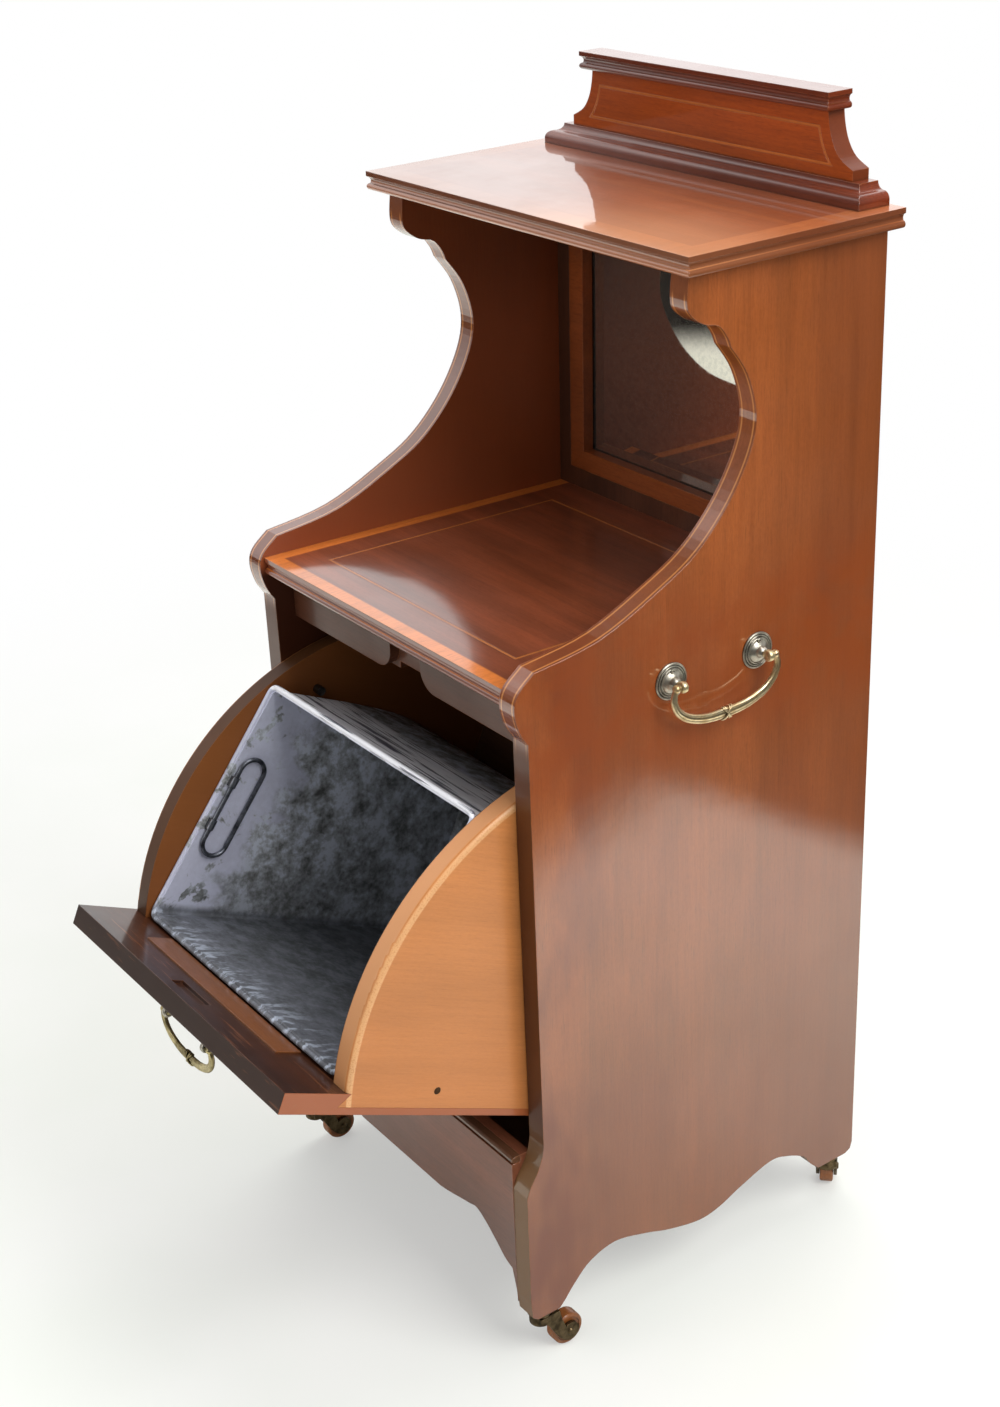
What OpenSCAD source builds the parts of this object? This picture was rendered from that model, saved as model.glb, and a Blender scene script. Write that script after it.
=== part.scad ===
// Inlaid mahogany coal cabinet on castors: a mirrored niche and shelf above a coal box that tips
// forward on two pivots, with a removable metal liner inside it.
// X runs across the front, +Y to the back and +Z up from the floor. Outlines are drawn in depth
// from the back edge and in height from the floor, then moved to the origin under the middle.

/* [Cabinet] */
// Width over the two side panels
cabinet_w = 374; // [366:1:382]
// Thickness of a side panel
side_t = 18.7; // [17.7:0.1:19.7]
// Depth from the back edge to the face of the shut door
front_d = 340.6; // [335:0.2:346]
// Height of the feet's undersides above the floor
foot_z = 45; // [44:0.5:50]
// Thickness of the back boards
back_t = 9; // [7:0.5:10]
// Thickness of the cabinet floor
floor_t = 12; // [10:0.5:14]
// Thickness of the front apron
apron_t = 18; // [16:0.5:20]
// Height of the apron's top edge
apron_z = 199; // [196:0.5:200]
// Height of the apron's lower edge at its middle
apron_low = 106; // [100:1:112]
// Height of the bead along the apron's top edge
apron_bead_h = 5.4; // [4.5:0.1:6.5]
// Thickness of the stop batten on the cabinet floor
stop_t = 20; // [14:1:26]
// Size of a glue block's square section
block_w = 20; // [16:1:24]
// Length of a glue block
block_l = 46; // [30:1:60]

/* [Top and gallery] */
// Height of the top board's underside
top_z = 879.5; // [872:0.5:887]
// Width of the top board
top_w = 403; // [396:1:410]
// Distance of the top board's front edge from the back edge of the sides
top_d = 203; // [199:0.5:207]
// Overhang of the top board behind the sides
top_back = 3; // [1:0.5:5]
// Thickness of the top board
top_t = 15.2; // [14.4:0.1:16]
// Radius of the hollow in the edges of the top board and the gallery cap
hollow_r = 3.6; // [2.8:0.1:3.8]
// Width of the gallery base
gallery_base_w = 375; // [370:1:380]
// Depth of the gallery base
gallery_base_d = 30.8; // [29:0.2:33]
// Thickness of the gallery base
gallery_base_t = 16.1; // [15:0.1:17]
// Height of the gallery panel
gallery_h = 47.8; // [44:0.2:52]
// Thickness of the gallery panel
gallery_t = 16.2; // [15:0.2:18]
// Width of the gallery panel at its foot
gallery_w = 331.2; // [326:0.2:336]
// Distance of the gallery panel's string from the swept ends
string_end_in = 9.8; // [8:0.1:12]
// Distance of the gallery panel's string from the foot
string_foot_in = 8; // [6:0.2:12]
// Distance of the gallery panel's string from the cap
string_cap_in = 11.8; // [8:0.2:14]
// Width of the gallery cap
cap_w = 292.6; // [289:0.2:296]
// Depth of the gallery cap
cap_d = 24; // [22:0.2:26]
// Thickness of the gallery cap
cap_t = 14.1; // [13.2:0.1:15]

/* [Shelf and mirror] */
// Height of the shelf's upper face
shelf_z = 605; // [602:0.5:610]
// Thickness of the shelf
shelf_t = 15; // [14:0.2:16]
// Reach of the shelf's edge past the shut door
shelf_over = 6.6; // [5.6:0.1:7.6]
// Height of the rail under the shelf
rail_h = 44; // [36:1:50]
// Thickness of the rail under the shelf
rail_t = 18; // [16:0.5:20]
// Width of the finger notch in the rail
notch_w = 42; // [36:1:48]
// Radius of the notch's rounded shoulders
notch_r = 18; // [14:0.5:20]
// Fall of the shelf towards its back, in degrees; the mirror stands square to the shelf
shelf_fall = 1.1; // [0:0.1:1.6]
// Distance of the mirror frame's face from the back edge
mirror_d = 39; // [36:0.5:46]
// Thickness of the mirror frame
frame_t = 16; // [14:0.5:18]
// Width of the mirror frame's stiles
stile_w = 16; // [12:0.5:22]
// Width of the mirror frame's rails
frame_rail_w = 17.5; // [14:0.5:22]
// Width of the moulding that holds the glass
glass_mould_w = 16.5; // [12:0.5:20]
// Thickness of the mirror glass
glass_t = 4; // [3:0.2:5]
// Width of the bevel that shows round the mirror
bevel_w = 16; // [10:0.5:20]
// Width of an inlaid string
string_w = 2; // [1.6:0.1:2.6]
// Depth of an inlaid string
string_t = 0.8; // [0.6:0.1:1]
// Distance of the shelf's string from its front edge
shelf_string_in = 38.7; // [34:0.1:44]
// Half the width of the string loop on the shelf
shelf_string_x = 130; // [124:0.5:136]

/* [Coal box] */
// Distance of the pivot from the back edge
pivot_d = 264; // [259:0.5:269]
// Height of the pivot
pivot_z = 280.5; // [277:0.5:284]
// Angle through which the coal box opens
open_angle = 64.6; // [56:0.2:67]
// Radius of the quadrant sides
quadrant_r = 242; // [236:0.5:246]
// Thickness of the quadrant sides
quadrant_t = 18; // [17:0.2:19]
// Radius of the quadrants' rounded outer arris
arris_r = 4; // [3:0.2:5]
// Thickness of the door
door_t = 17; // [16:0.2:18]
// Height of the shut door's lower edge
door_low = 201.5; // [200:0.5:206]
// Height of the shut door's upper edge
door_high = 570; // [562:0.5:574]
// Height of the quadrants' lower edges with the door shut
box_low = 215; // [213:0.5:218]
// Thickness of the coal box's floor
box_floor_t = 10; // [8:0.2:10.4]
// Gap between the coal box and the cabinet on each side
box_gap = 0.9; // [0.7:0.1:1.3]
// Depth to which the quadrants are let into the door
lap_t = 11; // [8:0.2:13]
// Dovetail flare of the let-in quadrants at both ends
lap_flare = 9; // [4:0.5:11]
// Radius of the pivot pin
pin_r = 5; // [4:0.1:6]
// Radius of the pivot pin's head
pin_head_r = 8; // [7:0.1:9]
// Running clearance of a pin in its bore
run_fit = 0.06; // [0.03:0.01:0.09]
// Radius of the sunk screws' heads
screw_r = 3; // [2.4:0.1:3.6]
// Height of the sunk screws with the door shut
screw_z = 430; // [400:1:460]
// Length of the strip inside the door above the liner
strip_l = 206; // [190:1:220]
// Height of the strip inside the door
strip_h = 23; // [18:0.5:26]
// Thickness of the strip inside the door
strip_t = 1.5; // [1.2:0.1:1.8]
// Radius of the pegs behind the liner
peg_r = 4; // [3:0.1:4.2]
// Reach of the pegs into the coal box
peg_l = 8; // [6:0.2:10]

/* [Liner] */
// Thickness of the liner's sheet
sheet_t = 1.2; // [1:0.1:1.6]
// Radius of the wired rim
rim_r = 2.3; // [2:0.1:2.5]
// Height of the liner's rim at the door
rim_front_z = 512; // [508:0.5:514]
// Height of the liner's rim at the back
rim_back_z = 463; // [458:0.5:468]
// Distance of the rim's middle from the cabinet's back edge
rim_back_d = 107; // [104:0.5:114]
// Radius of the liner's upright corners
liner_corner_r = 5; // [4:0.5:8]
// Distance of the liner's foot from the cabinet's back edge
liner_foot_d = 175; // [165:1:185]
// Radius of a liner handle's wire
wire_r = 2; // [1.6:0.1:2.2]
// Length of a liner handle
liner_grip_l = 94; // [86:1:100]
// Depth of a liner handle
liner_grip_h = 28; // [24:1:32]
// Distance of the shut liner handles' middles from the cabinet's back edge
liner_grip_d = 213; // [205:1:221]

/* [Brass handles] */
// Distance between the two posts of a side handle
side_post_gap = 85.4; // [80:0.2:90]
// Distance of the side handles from the back edge
side_handle_d = 166; // [160:1:172]
// Height of the side handles' posts
side_handle_z = 576.5; // [560:0.5:590]
// Distance between the two posts of the door handle
door_post_gap = 62; // [56:1:80]
// Height of the door handle's posts with the door shut
door_handle_z = 548; // [530:0.5:552]
// Height of a post's eye above the wood
post_h = 14; // [13:0.2:18]
// Radius of a handle's rosette
rosette_r = 14.8; // [13:0.2:17]
// Drop of a side handle's bail below its posts
side_bail_drop = 34; // [28:0.5:38]
// Drop of the door handle's bail below its posts
door_bail_drop = 27; // [24:0.5:34]
// Radius of a bail's ends, and half its thickness
bail_r = 2.2; // [1.8:0.1:2.6]
// Half the width of a bail at its middle
bail_mid_r = 4.4; // [3.4:0.1:5.2]

/* [Castors] */
// Radius of a castor wheel
wheel_r = 14.5; // [14:0.1:15]
// Width of a castor wheel
wheel_w = 12; // [10:0.2:13]
// Distance of the axle from the castor's swivel axis
castor_trail = 24; // [23:0.2:28]
// Thickness of a castor's arms
horn_t = 3; // [2.5:0.1:3.5]
// Turn of the front castors from straight back
front_turn = 0; // [-30:1:30]
// Turn of the back castors from straight back
back_turn = 44; // [0:1:60]

/* [Hidden] */
$fn = 64;

// Gap that keeps pieces of two moving bodies apart, and the overrun of a cut
gap = 0.3;
cut = 1;

// Half widths between the sides, over the coal box and inside it
inner_x = cabinet_w / 2 - side_t;
box_x = inner_x - box_gap;
hollow_x = box_x - quadrant_t;
// Faces of the door and of the moulded boards
door_in = front_d - door_t;
shelf_d = front_d + shelf_over;
apron_d = front_d + apron_t + 0.4;
apron_back = apron_d - apron_t;
// The cabinet floor lies just under the path of the door's lower corner
sweep_r = norm([front_d - pivot_d, pivot_z - door_low]);
floor_z = pivot_z - sweep_r - 1.5;

// Places of the castors' swivel axes
castor_x = cabinet_w / 2 - side_t / 2;
castor_front_d = front_d + 3.4;
castor_back_d = 21.5;

// The origin lies on the floor, midway between the open door and the back castors
door_corner = opened([front_d, door_high]);
back_reach = castor_trail * cos(back_turn) + wheel_r * cos(back_turn) + wheel_w / 2 * sin(back_turn)
    - castor_back_d;
origin_y = (door_corner[0] - max(back_reach, top_back)) / 2;

// Point in depth and height, shut, as it lies with the coal box open
function opened(p) = [
    pivot_d + (p[0] - pivot_d) * cos(open_angle) + (p[1] - pivot_z) * sin(open_angle),
    pivot_z - (p[0] - pivot_d) * sin(open_angle) + (p[1] - pivot_z) * cos(open_angle)];
function moved(points, by) = [for (p = points) p + by];
function flipped(points) = [for (i = [len(points) - 1:-1:0]) [-points[i][0], points[i][1]]];
// Arc of a circle from angle a to angle b
function arc(c, r, a, b, steps = 8) =
    [for (i = [0:steps]) c + r * [cos(a + (b - a) * i / steps), sin(a + (b - a) * i / steps)]];
// Smooth curve through points, without its last point
function between(a, b, c, d, t) =
    (2 * b + (c - a) * t + (2 * a - 5 * b + 4 * c - d) * t * t + (3 * b - a - 3 * c + d) * t * t * t) / 2;
function curve(p, steps = 5) = [for (i = [0:len(p) - 2], k = [0:steps - 1])
    between(p[max(i - 1, 0)], p[i], p[i + 1], p[min(i + 2, len(p) - 1)], k / steps)];

// Moves what is drawn from the cabinet's back edge to the origin
module placed() {
    translate([0, origin_y, 0]) children();
}

// Tips what is drawn in the shut position forward about the pivots
module tipped() {
    translate([0, -pivot_d, pivot_z])
        rotate([open_angle, 0, 0])
            translate([0, pivot_d, -pivot_z]) children();
}

// Draws an outline in depth and height, w thick from x
module along_x(x, w) {
    translate([x + w, 0, 0]) rotate([90, 0, -90]) linear_extrude(w) children();
}

// Draws an outline in width and height, t thick forwards from depth d
module along_y(d, t) {
    translate([0, -d, 0]) rotate([90, 0, 0]) linear_extrude(t) children();
}

module both_sides() {
    children();
    mirror([1, 0, 0]) children();
}

// Rectangle in width and height, centred across
module upright(w, z0, z1) {
    translate([-w / 2, z0]) square([w, z1 - z0]);
}

// Cylinder along x about a point in depth and height
module round_x(x, l, r, d, z) {
    translate([x, -d, z]) rotate([0, 90, 0]) cylinder(h = l, r = r);
}

// Section of a board from 0 to w: a bead below, a hollow, and a square fillet on top
module beaded_section(w, t) {
    bead = (t - hollow_r) / 4;
    difference() {
        square([w, t]);
        translate([w - bead, -cut]) square([bead + cut, 2 * bead + cut]);
        translate([w + hollow_r / 4, 2 * bead + hollow_r / 2]) circle(r = hollow_r);
    }
    translate([w - bead, bead]) circle(r = bead);
}

// Section of a board from 0 to w: a square fillet below and an ogee that draws in above it
module ogee_section(w, t) {
    fillet_h = t / 4;
    r = (t - fillet_h) / 2;
    difference() {
        union() {
            square([w, fillet_h]);
            square([w - r, t]);
            translate([0, fillet_h]) intersection() {
                square([w, t]);
                translate([w - r, 0]) circle(r = r);
            }
        }
        translate([w - r, t]) circle(r = r);
    }
}

// Board whose section from the back to the front, and from its middle to each end, is a child
module moulded_board(w, d, z, back = 0) {
    intersection() {
        along_x(-w, 2 * w) translate([-back, z]) children(0);
        along_y(-back - cut, d + back + 2 * cut) translate([0, z]) both_sides() children(1);
    }
}

/* Carcass */

// Outline of a side: under the top board, down the scoop, round the nose and along the feet
niche_top = moved([[190, 0], [192, -20], [189, -30], [177, -39], [163, -43], [155, -52]], [0, top_z]);
scoop_top = moved([[151, -61], [135, -84], [126.5, -115], [132, -143]], [0, top_z]);
scoop_low = moved([[152.5, 97], [182.5, 67], [218, 47], [273.5, 24]], [0, shelf_z]);
nose = moved([[-8, 15.5], [7, 3], [11, -10], [7, -27], [0, -39]], [front_d, shelf_z]);
leg_sweep = moved([[0, 15], [2, 4], [7.5, -9], [14, -19], [18.4, -30]], [front_d, apron_z]);
toe = moved([[18.4, 20], [17, 4], [12, 0]], [front_d, foot_z]);
under_front = moved([[-10, 0], [-16, 6], [-26, 17.5], [-43, 32], [-69, 38.5], [-100, 30.5],
    [-128, 20.5]], [front_d, foot_z]);
under_back = moved([[180, 13.4], [157, 16.4], [134, 25.3], [99.5, 35.7], [78.5, 31.3], [59, 21],
    [51, 10], [41, 0]], [0, foot_z]);
heel = moved([[8, 0], [2, 3], [0, 10]], [0, foot_z]);

module side_outline() {
    polygon(concat(
        [[0, top_z]],
        curve(concat(niche_top, [scoop_top[0]])),
        curve(concat(scoop_top, scoop_low, [nose[0]])),
        curve(nose),
        [nose[len(nose) - 1]],
        curve(leg_sweep),
        toe,
        curve(concat(under_front, under_back)),
        [under_back[len(under_back) - 1]],
        heel));
}

module side_panel_right() {
    color("#96552f") placed() difference() {
        along_x(inner_x, side_t) side_outline();
        round_x(inner_x - cut, pin_l + cut, pin_r, pivot_d, pivot_z);
    }
}

module side_panel_left() {
    mirror([1, 0, 0]) side_panel_right();
}

module top_board() {
    color("#a05a30") placed() moulded_board(top_w, top_d, top_z, top_back) {
        beaded_section(top_d + top_back, top_t);
        beaded_section(top_w / 2, top_t);
    }
}

gallery_z = top_z + top_t;
gallery_panel_z = gallery_z + gallery_base_t;
cap_z = gallery_panel_z + gallery_h;

module gallery_base() {
    color("#a05a30") placed() moulded_board(gallery_base_w, gallery_base_d, gallery_z) {
        ogee_section(gallery_base_d, gallery_base_t);
        ogee_section(gallery_base_w / 2, gallery_base_t);
    }
}

// Half outline of the gallery panel: a short square end, then a hollow sweep up to the cap
gallery_sweep = moved([[0, 7.5], [-13.5, 14.5], [-21.5, 25], [-25.5, 37], [-27, gallery_h]],
    [gallery_w / 2, gallery_panel_z]);
gallery_half = concat([[gallery_w / 2, gallery_panel_z]], curve(gallery_sweep),
    [gallery_sweep[len(gallery_sweep) - 1]]);

// Curve drawn in by e along its normals, to the left of its run
function inset_curve(p, e) = [for (i = [0:len(p) - 1])
    let (t = p[min(i + 1, len(p) - 1)] - p[max(i - 1, 0)]) p[i] + e * [-t[1], t[0]] / norm(t)];

// Field inside the gallery panel's edges: e from its swept ends, and e more than the string's own
// distances from its foot and its cap
module gallery_field(e) {
    ends = inset_curve(concat(curve(gallery_sweep), [gallery_sweep[len(gallery_sweep) - 1]]),
        string_end_in + e);
    intersection() {
        polygon(concat(ends, flipped(ends)));
        translate([0, gallery_panel_z])
            upright(gallery_w, string_foot_in + e, gallery_h - string_cap_in - e);
    }
}

module gallery_string_outline() {
    difference() {
        gallery_field(0);
        gallery_field(string_w);
    }
}

module gallery_string() {
    color("#e6a046") placed() along_y(gallery_t - string_t, string_t) gallery_string_outline();
}

module gallery_panel() {
    color("#96502d") placed() difference() {
        along_y(0, gallery_t) polygon(concat(gallery_half, flipped(gallery_half)));
        along_y(gallery_t - string_t, string_t + cut) gallery_string_outline();
    }
}

module gallery_cap() {
    color("#a05a30") placed() moulded_board(cap_w, cap_d, cap_z) {
        beaded_section(cap_d, cap_t);
        beaded_section(cap_w / 2, cap_t);
    }
}

// Rectangular loop of string, w by h over its outside
module string_loop(w, h) {
    difference() {
        square([w, h], center = true);
        square([w - 2 * string_w, h - 2 * string_w], center = true);
    }
}

// Tips the shelf, and all that stands square to it, about the shelf's front upper edge
module fallen() {
    translate([0, -shelf_d, shelf_z]) rotate([-shelf_fall, 0, 0])
        translate([0, shelf_d, -shelf_z]) children();
}

shelf_string_back = mirror_d + shelf_string_in;
shelf_string_front = shelf_d - shelf_string_in;

module shelf_string_cut(h) {
    translate([0, -(shelf_string_back + shelf_string_front) / 2, shelf_z - string_t])
        linear_extrude(h) string_loop(2 * shelf_string_x, shelf_string_front - shelf_string_back);
}

module shelf_string() {
    color("#e6a05a") placed() fallen() shelf_string_cut(string_t);
}

module shelf() {
    color("#823c23") placed() fallen() difference() {
        along_x(-inner_x, 2 * inner_x) translate([shelf_back, shelf_z - shelf_t])
            beaded_section(shelf_d - shelf_back, shelf_t);
        shelf_string_cut(string_t + cut);
    }
}

// The shelf's back edge keeps clear of the back boards, which stand on the cabinet's back edge
shelf_back = back_t;
shelf_low = shelf_z - shelf_t - (shelf_d - shelf_back) * tan(shelf_fall);
rail_z = shelf_z - shelf_t - rail_h;

// Rail fitted to the shelf's underside, with a finger notch cut in its face between two rounded
// shoulders, shallower at the back
module shelf_rail() {
    half = notch_w / 2;
    back = door_in - 1.3 - rail_t;
    shoulder = arc([half + notch_r, rail_z + notch_r], notch_r, -90, -180);
    color("#6e3c20") placed() difference() {
        along_y(back, rail_t) upright(2 * inner_x, rail_z, rail_z + rail_h);
        along_y(back + rail_t / 2, rail_t) polygon(concat(
            [[half + notch_r, rail_z - cut]],
            shoulder,
            [[half, rail_z + notch_r + 6], [-half, rail_z + notch_r + 6]],
            flipped(shoulder),
            [[-half - notch_r, rail_z - cut]]));
        along_y(back - cut, rail_t) upright(2 * half, rail_z - cut, rail_z + 6);
        fallen() along_x(-inner_x - cut, 2 * inner_x + 2 * cut)
            translate([0, shelf_z - shelf_t]) square([shelf_d, rail_h]);
    }
}

// Height of the top board's underside over the shelf, square to it at the mirror
ceiling_z = top_z + (shelf_d - mirror_d) * tan(shelf_fall);
mirror_back = mirror_d - frame_t;
// Half widths and heights of the mirror frame's opening and of the moulding's
frame_x = inner_x - stile_w;
frame_z0 = shelf_z + frame_rail_w;
frame_z1 = ceiling_z - frame_rail_w;
sight_x = frame_x - glass_mould_w;
sight_z0 = frame_z0 + glass_mould_w;
sight_z1 = frame_z1 - glass_mould_w;
glass_lap = 4;
mould_slope = 1.5;

// Cuts what stands on the shelf at the top board's underside
module under_top() {
    difference() {
        fallen() children();
        along_x(-cabinet_w, 2 * cabinet_w) translate([-back_t, top_z])
            square([shelf_d, ceiling_z - top_z + back_t]);
    }
}

module mirror_frame() {
    color("#6e3a20") placed() under_top() along_y(mirror_back, frame_t) difference() {
        upright(2 * inner_x, shelf_z, ceiling_z + cut);
        upright(2 * frame_x, frame_z0, frame_z1);
    }
}

// Moulding round the glass, mitred, falling towards it
module mirror_moulding() {
    d0 = mirror_back + glass_t;
    d1 = mirror_d;
    color("#b06a38") placed() fallen() difference() {
        along_y(d0, d1 - d0) upright(2 * frame_x, frame_z0, frame_z1);
        intersection() {
            along_x(-frame_x, 2 * frame_x) polygon([
                [d0 - cut, sight_z0], [d1 - mould_slope, sight_z0], [d1, sight_z0 - glass_mould_w + 2],
                [d1 + cut, sight_z0 - glass_mould_w + 2], [d1 + cut, sight_z1 + glass_mould_w - 2],
                [d1, sight_z1 + glass_mould_w - 2], [d1 - mould_slope, sight_z1], [d0 - cut, sight_z1]]);
            translate([0, 0, frame_z0]) linear_extrude(frame_z1 - frame_z0) both_sides() polygon([
                [0, cut - d0], [sight_x, cut - d0], [sight_x, mould_slope - d1], [frame_x - 2, -d1],
                [frame_x - 2, -d1 - cut], [0, -d1 - cut]]);
        }
    }
}

// Mirror glass whose bevelled edge runs under the moulding
module mirror_glass() {
    x = sight_x + glass_lap;
    z0 = sight_z0 - glass_lap;
    z1 = sight_z1 + glass_lap;
    bevel = bevel_w + glass_lap;
    d0 = mirror_back;
    d1 = mirror_back + glass_t;
    edge = glass_t / 2;
    color("#dfe8ea") placed() fallen() intersection() {
        along_x(-x, 2 * x) polygon([
            [d0, z0], [d0 + edge, z0], [d1, z0 + bevel], [d1, z1 - bevel], [d0 + edge, z1], [d0, z1]]);
        translate([0, 0, z0]) linear_extrude(z1 - z0) polygon([
            [-x, -d0], [x, -d0], [x, -d0 - edge], [x - bevel, -d1], [bevel - x, -d1], [-x, -d0 - edge]]);
    }
}

// Board behind the mirror, square to the shelf like it
module back_board_upper() {
    color("#6b4427") placed() under_top() along_y(mirror_back - back_t, back_t)
        upright(2 * inner_x, shelf_z, ceiling_z + cut);
}

module back_board_lower() {
    color("#6b4427") placed() along_y(0, back_t)
        upright(2 * inner_x, floor_z - floor_t, shelf_low + shelf_t / 2);
}

module cabinet_floor() {
    color("#7a5030") placed() along_x(-inner_x, 2 * inner_x)
        translate([back_t, floor_z - floor_t]) square([apron_back - back_t, floor_t]);
}

apron_half = concat(
    [[inner_x, apron_z], [inner_x, foot_z + 10]],
    curve([[inner_x, foot_z + 10], [inner_x - 1, foot_z + 21], [inner_x - 6, foot_z + 40.5]]),
    curve(moved([[-6, -20.5], [-16, -16], [-29, -5], [-42, 5], [-54, 11], [-64, 9], [-78, 6],
        [-93, 2.5], [-108, 0]], [inner_x, apron_low])),
    [[inner_x - 108, apron_low]]);
bead_set = 8.4;

module front_apron() {
    color("#87583c") placed() difference() {
        along_y(apron_back, apron_t) polygon(concat(apron_half, flipped(apron_half)));
        along_x(-inner_x - cut, 2 * inner_x + 2 * cut)
            translate([apron_d - bead_set, apron_z - apron_bead_h - 0.8])
                square([bead_set + cut, apron_bead_h + 0.8 + cut]);
    }
}

// Half-round bead in the rebate along the apron's top edge, with a fine gap under it
module apron_bead() {
    r = apron_bead_h / 2;
    color("#dc965a") placed() along_x(-inner_x, 2 * inner_x) translate([apron_d, apron_z - r]) {
        translate([-bead_set, -r]) square([bead_set - r, 2 * r]);
        translate([-r, 0]) circle(r = r);
    }
}

// Batten on which the shut coal box rests and against which the open one stops. Its face meets the
// door's inner corner, or the underside of the open box where that lies further back
stop_top = box_low - gap;
floor_corner = opened([door_in, box_low]);
stop_d = min(opened([door_in, door_low])[0],
    floor_corner[0] - (stop_top - floor_corner[1]) / tan(open_angle)) - gap;

module stop_batten() {
    color("#7a5030") placed() along_x(gap - inner_x, 2 * (inner_x - gap))
        translate([stop_d - stop_t, floor_z]) square([stop_t, stop_top - floor_z]);
}

module glue_blocks() {
    color("#8a6038") placed() both_sides() {
        for (d = [back_t, apron_back - block_l])
            translate([inner_x - block_w, -d - block_l, floor_z - floor_t - block_w])
                cube([block_w, block_l, block_w]);
    }
}

/* Coal box */

pin_l = 10;
pin_head_h = 3.5;

// Pins that screw into the sides, with their heads sunk in the quadrants
module pivot_pins() {
    head_x = hollow_x + gap;
    color("#8c8c88") placed() both_sides() {
        round_x(head_x, pin_head_h, pin_head_r, pivot_d, pivot_z);
        round_x(head_x, inner_x + pin_l - head_x, pin_r, pivot_d, pivot_z);
    }
}

// Height at which the quadrants' arc meets the door
arc_z = pivot_z + sqrt(pow(quadrant_r, 2) - pow(door_in - pivot_d, 2));

// Dovetailed lap of a quadrant in the door's end, in depth and height. Its upper end starts below
// the rounded arris, and its lower flare leaves wood under it
module lap() {
    z0 = box_low;
    z1 = arc_z - arris_r - 1.2;
    polygon([[door_in - cut, z0], [door_in, z0],
        [door_in + lap_t, z0 - min(lap_flare, (box_low - door_low) / 2)],
        [door_in + lap_t, z1 + lap_flare], [door_in, z1], [door_in - cut, z1]]);
}

module door_string_cut(t) {
    h = door_high - door_low;
    along_y(front_d - string_t, t) translate([0, (door_high + door_low) / 2])
        string_loop(2 * box_x - 50, h - 50);
}

module door_string() {
    color("#e6a05a") placed() tipped() door_string_cut(string_t);
}

module door_panel() {
    color("#8c4f2d") placed() tipped() difference() {
        along_y(door_in, door_t) upright(2 * box_x, door_low, door_high);
        both_sides() along_x(hollow_x, quadrant_t + cut) lap();
        door_string_cut(string_t + cut);
        // Shallow recess for the catch
        along_y(door_in - cut, cut + 3) upright(44, door_high - 21, door_high - 10);
    }
}

// Disc about the pivot with a rounded outer arris, cut to a quadrant and let into the door
module quadrant_right() {
    color("#be7d4b") placed() tipped() difference() {
        union() {
            intersection() {
                translate([hollow_x, -pivot_d, pivot_z]) rotate([0, 90, 0]) rotate_extrude($fn = 128)
                    quadrant_section();
                along_x(hollow_x, quadrant_t) translate([pivot_d - quadrant_r - cut, box_low])
                    square([door_in - pivot_d + quadrant_r + cut, 2 * quadrant_r]);
            }
            along_x(hollow_x, quadrant_t) lap();
        }
        round_x(hollow_x - cut, quadrant_t + 2 * cut, pin_r + run_fit, pivot_d, pivot_z);
        round_x(hollow_x - cut, cut + gap + pin_head_h + gap, pin_head_r + gap, pivot_d, pivot_z);
        quadrant_screw(cut);
    }
}

module quadrant_section() {
    square([quadrant_r, quadrant_t - arris_r]);
    square([quadrant_r - arris_r, quadrant_t]);
    translate([quadrant_r - arris_r, quadrant_t - arris_r]) circle(r = arris_r);
}

module quadrant_left() {
    mirror([1, 0, 0]) quadrant_right();
}

// Screw sunk in a quadrant behind the door; extra lengthens it to cut its hole
module quadrant_screw(extra = 0) {
    d = door_in - screw_r - 0.4;
    round_x(box_x - 4 * screw_r, 4 * screw_r + extra, screw_r / 2, d, screw_z);
    round_x(box_x - 2, 2 + extra, screw_r, d, screw_z);
}

module quadrant_screws() {
    color("#5a4630") placed() tipped() both_sides() quadrant_screw();
}

module box_floor() {
    color("#7a5030") placed() tipped() along_x(-hollow_x, 2 * hollow_x)
        translate([box_back_d, box_low]) square([door_in - box_back_d, box_floor_t]);
}

// Back end of the box floor, where it meets the quadrants' arc
box_back_d = pivot_d - sqrt(pow(quadrant_r - arris_r, 2) - pow(pivot_z - box_low, 2));

module door_strip() {
    color("#96603a") placed() tipped() along_y(door_in - strip_t, strip_t)
        upright(strip_l, rim_front_z + rim_r + 1, rim_front_z + rim_r + 1 + strip_h);
}

// Pegs on the quadrants, just behind the liner's back wall
module liner_pegs() {
    color("#3c3a36") placed() tipped() both_sides()
        round_x(hollow_x - peg_l, peg_l, peg_r, wall_back - 1 - peg_r, rim_back_z - 46);
}

/* Liner */

// Half width of the liner to the middle of its rim, and the rim's distance from the door
rim_x = hollow_x - box_gap - rim_r;
rim_front_d = door_in - strip_t - gap - rim_r;
liner_low = box_low + box_floor_t + gap;
liner_slope = atan((rim_front_z - rim_back_z) / (rim_front_d - rim_back_d));

// The walls stand inside the rim
wall_front = rim_front_d - rim_r;
wall_back = rim_back_d + rim_r;
wall_x = rim_x - rim_r;

// Outline of the liner over its sheet, up lengthens it past the rim
module liner_outline(up = 0) {
    back = wall_back;
    foot = liner_foot_d - back;
    polygon(concat(
        [[wall_front, rim_front_z + up]],
        arc([wall_front - 12, liner_low + 10], 10, 0, -90),
        curve([[liner_foot_d, liner_low], [back + 0.45 * foot, liner_low + 36],
            [back + 0.09 * foot, liner_low + 94], [back, liner_low + 174]]),
        [[back, liner_low + 174], [back, rim_back_z + up]]));
}

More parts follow.
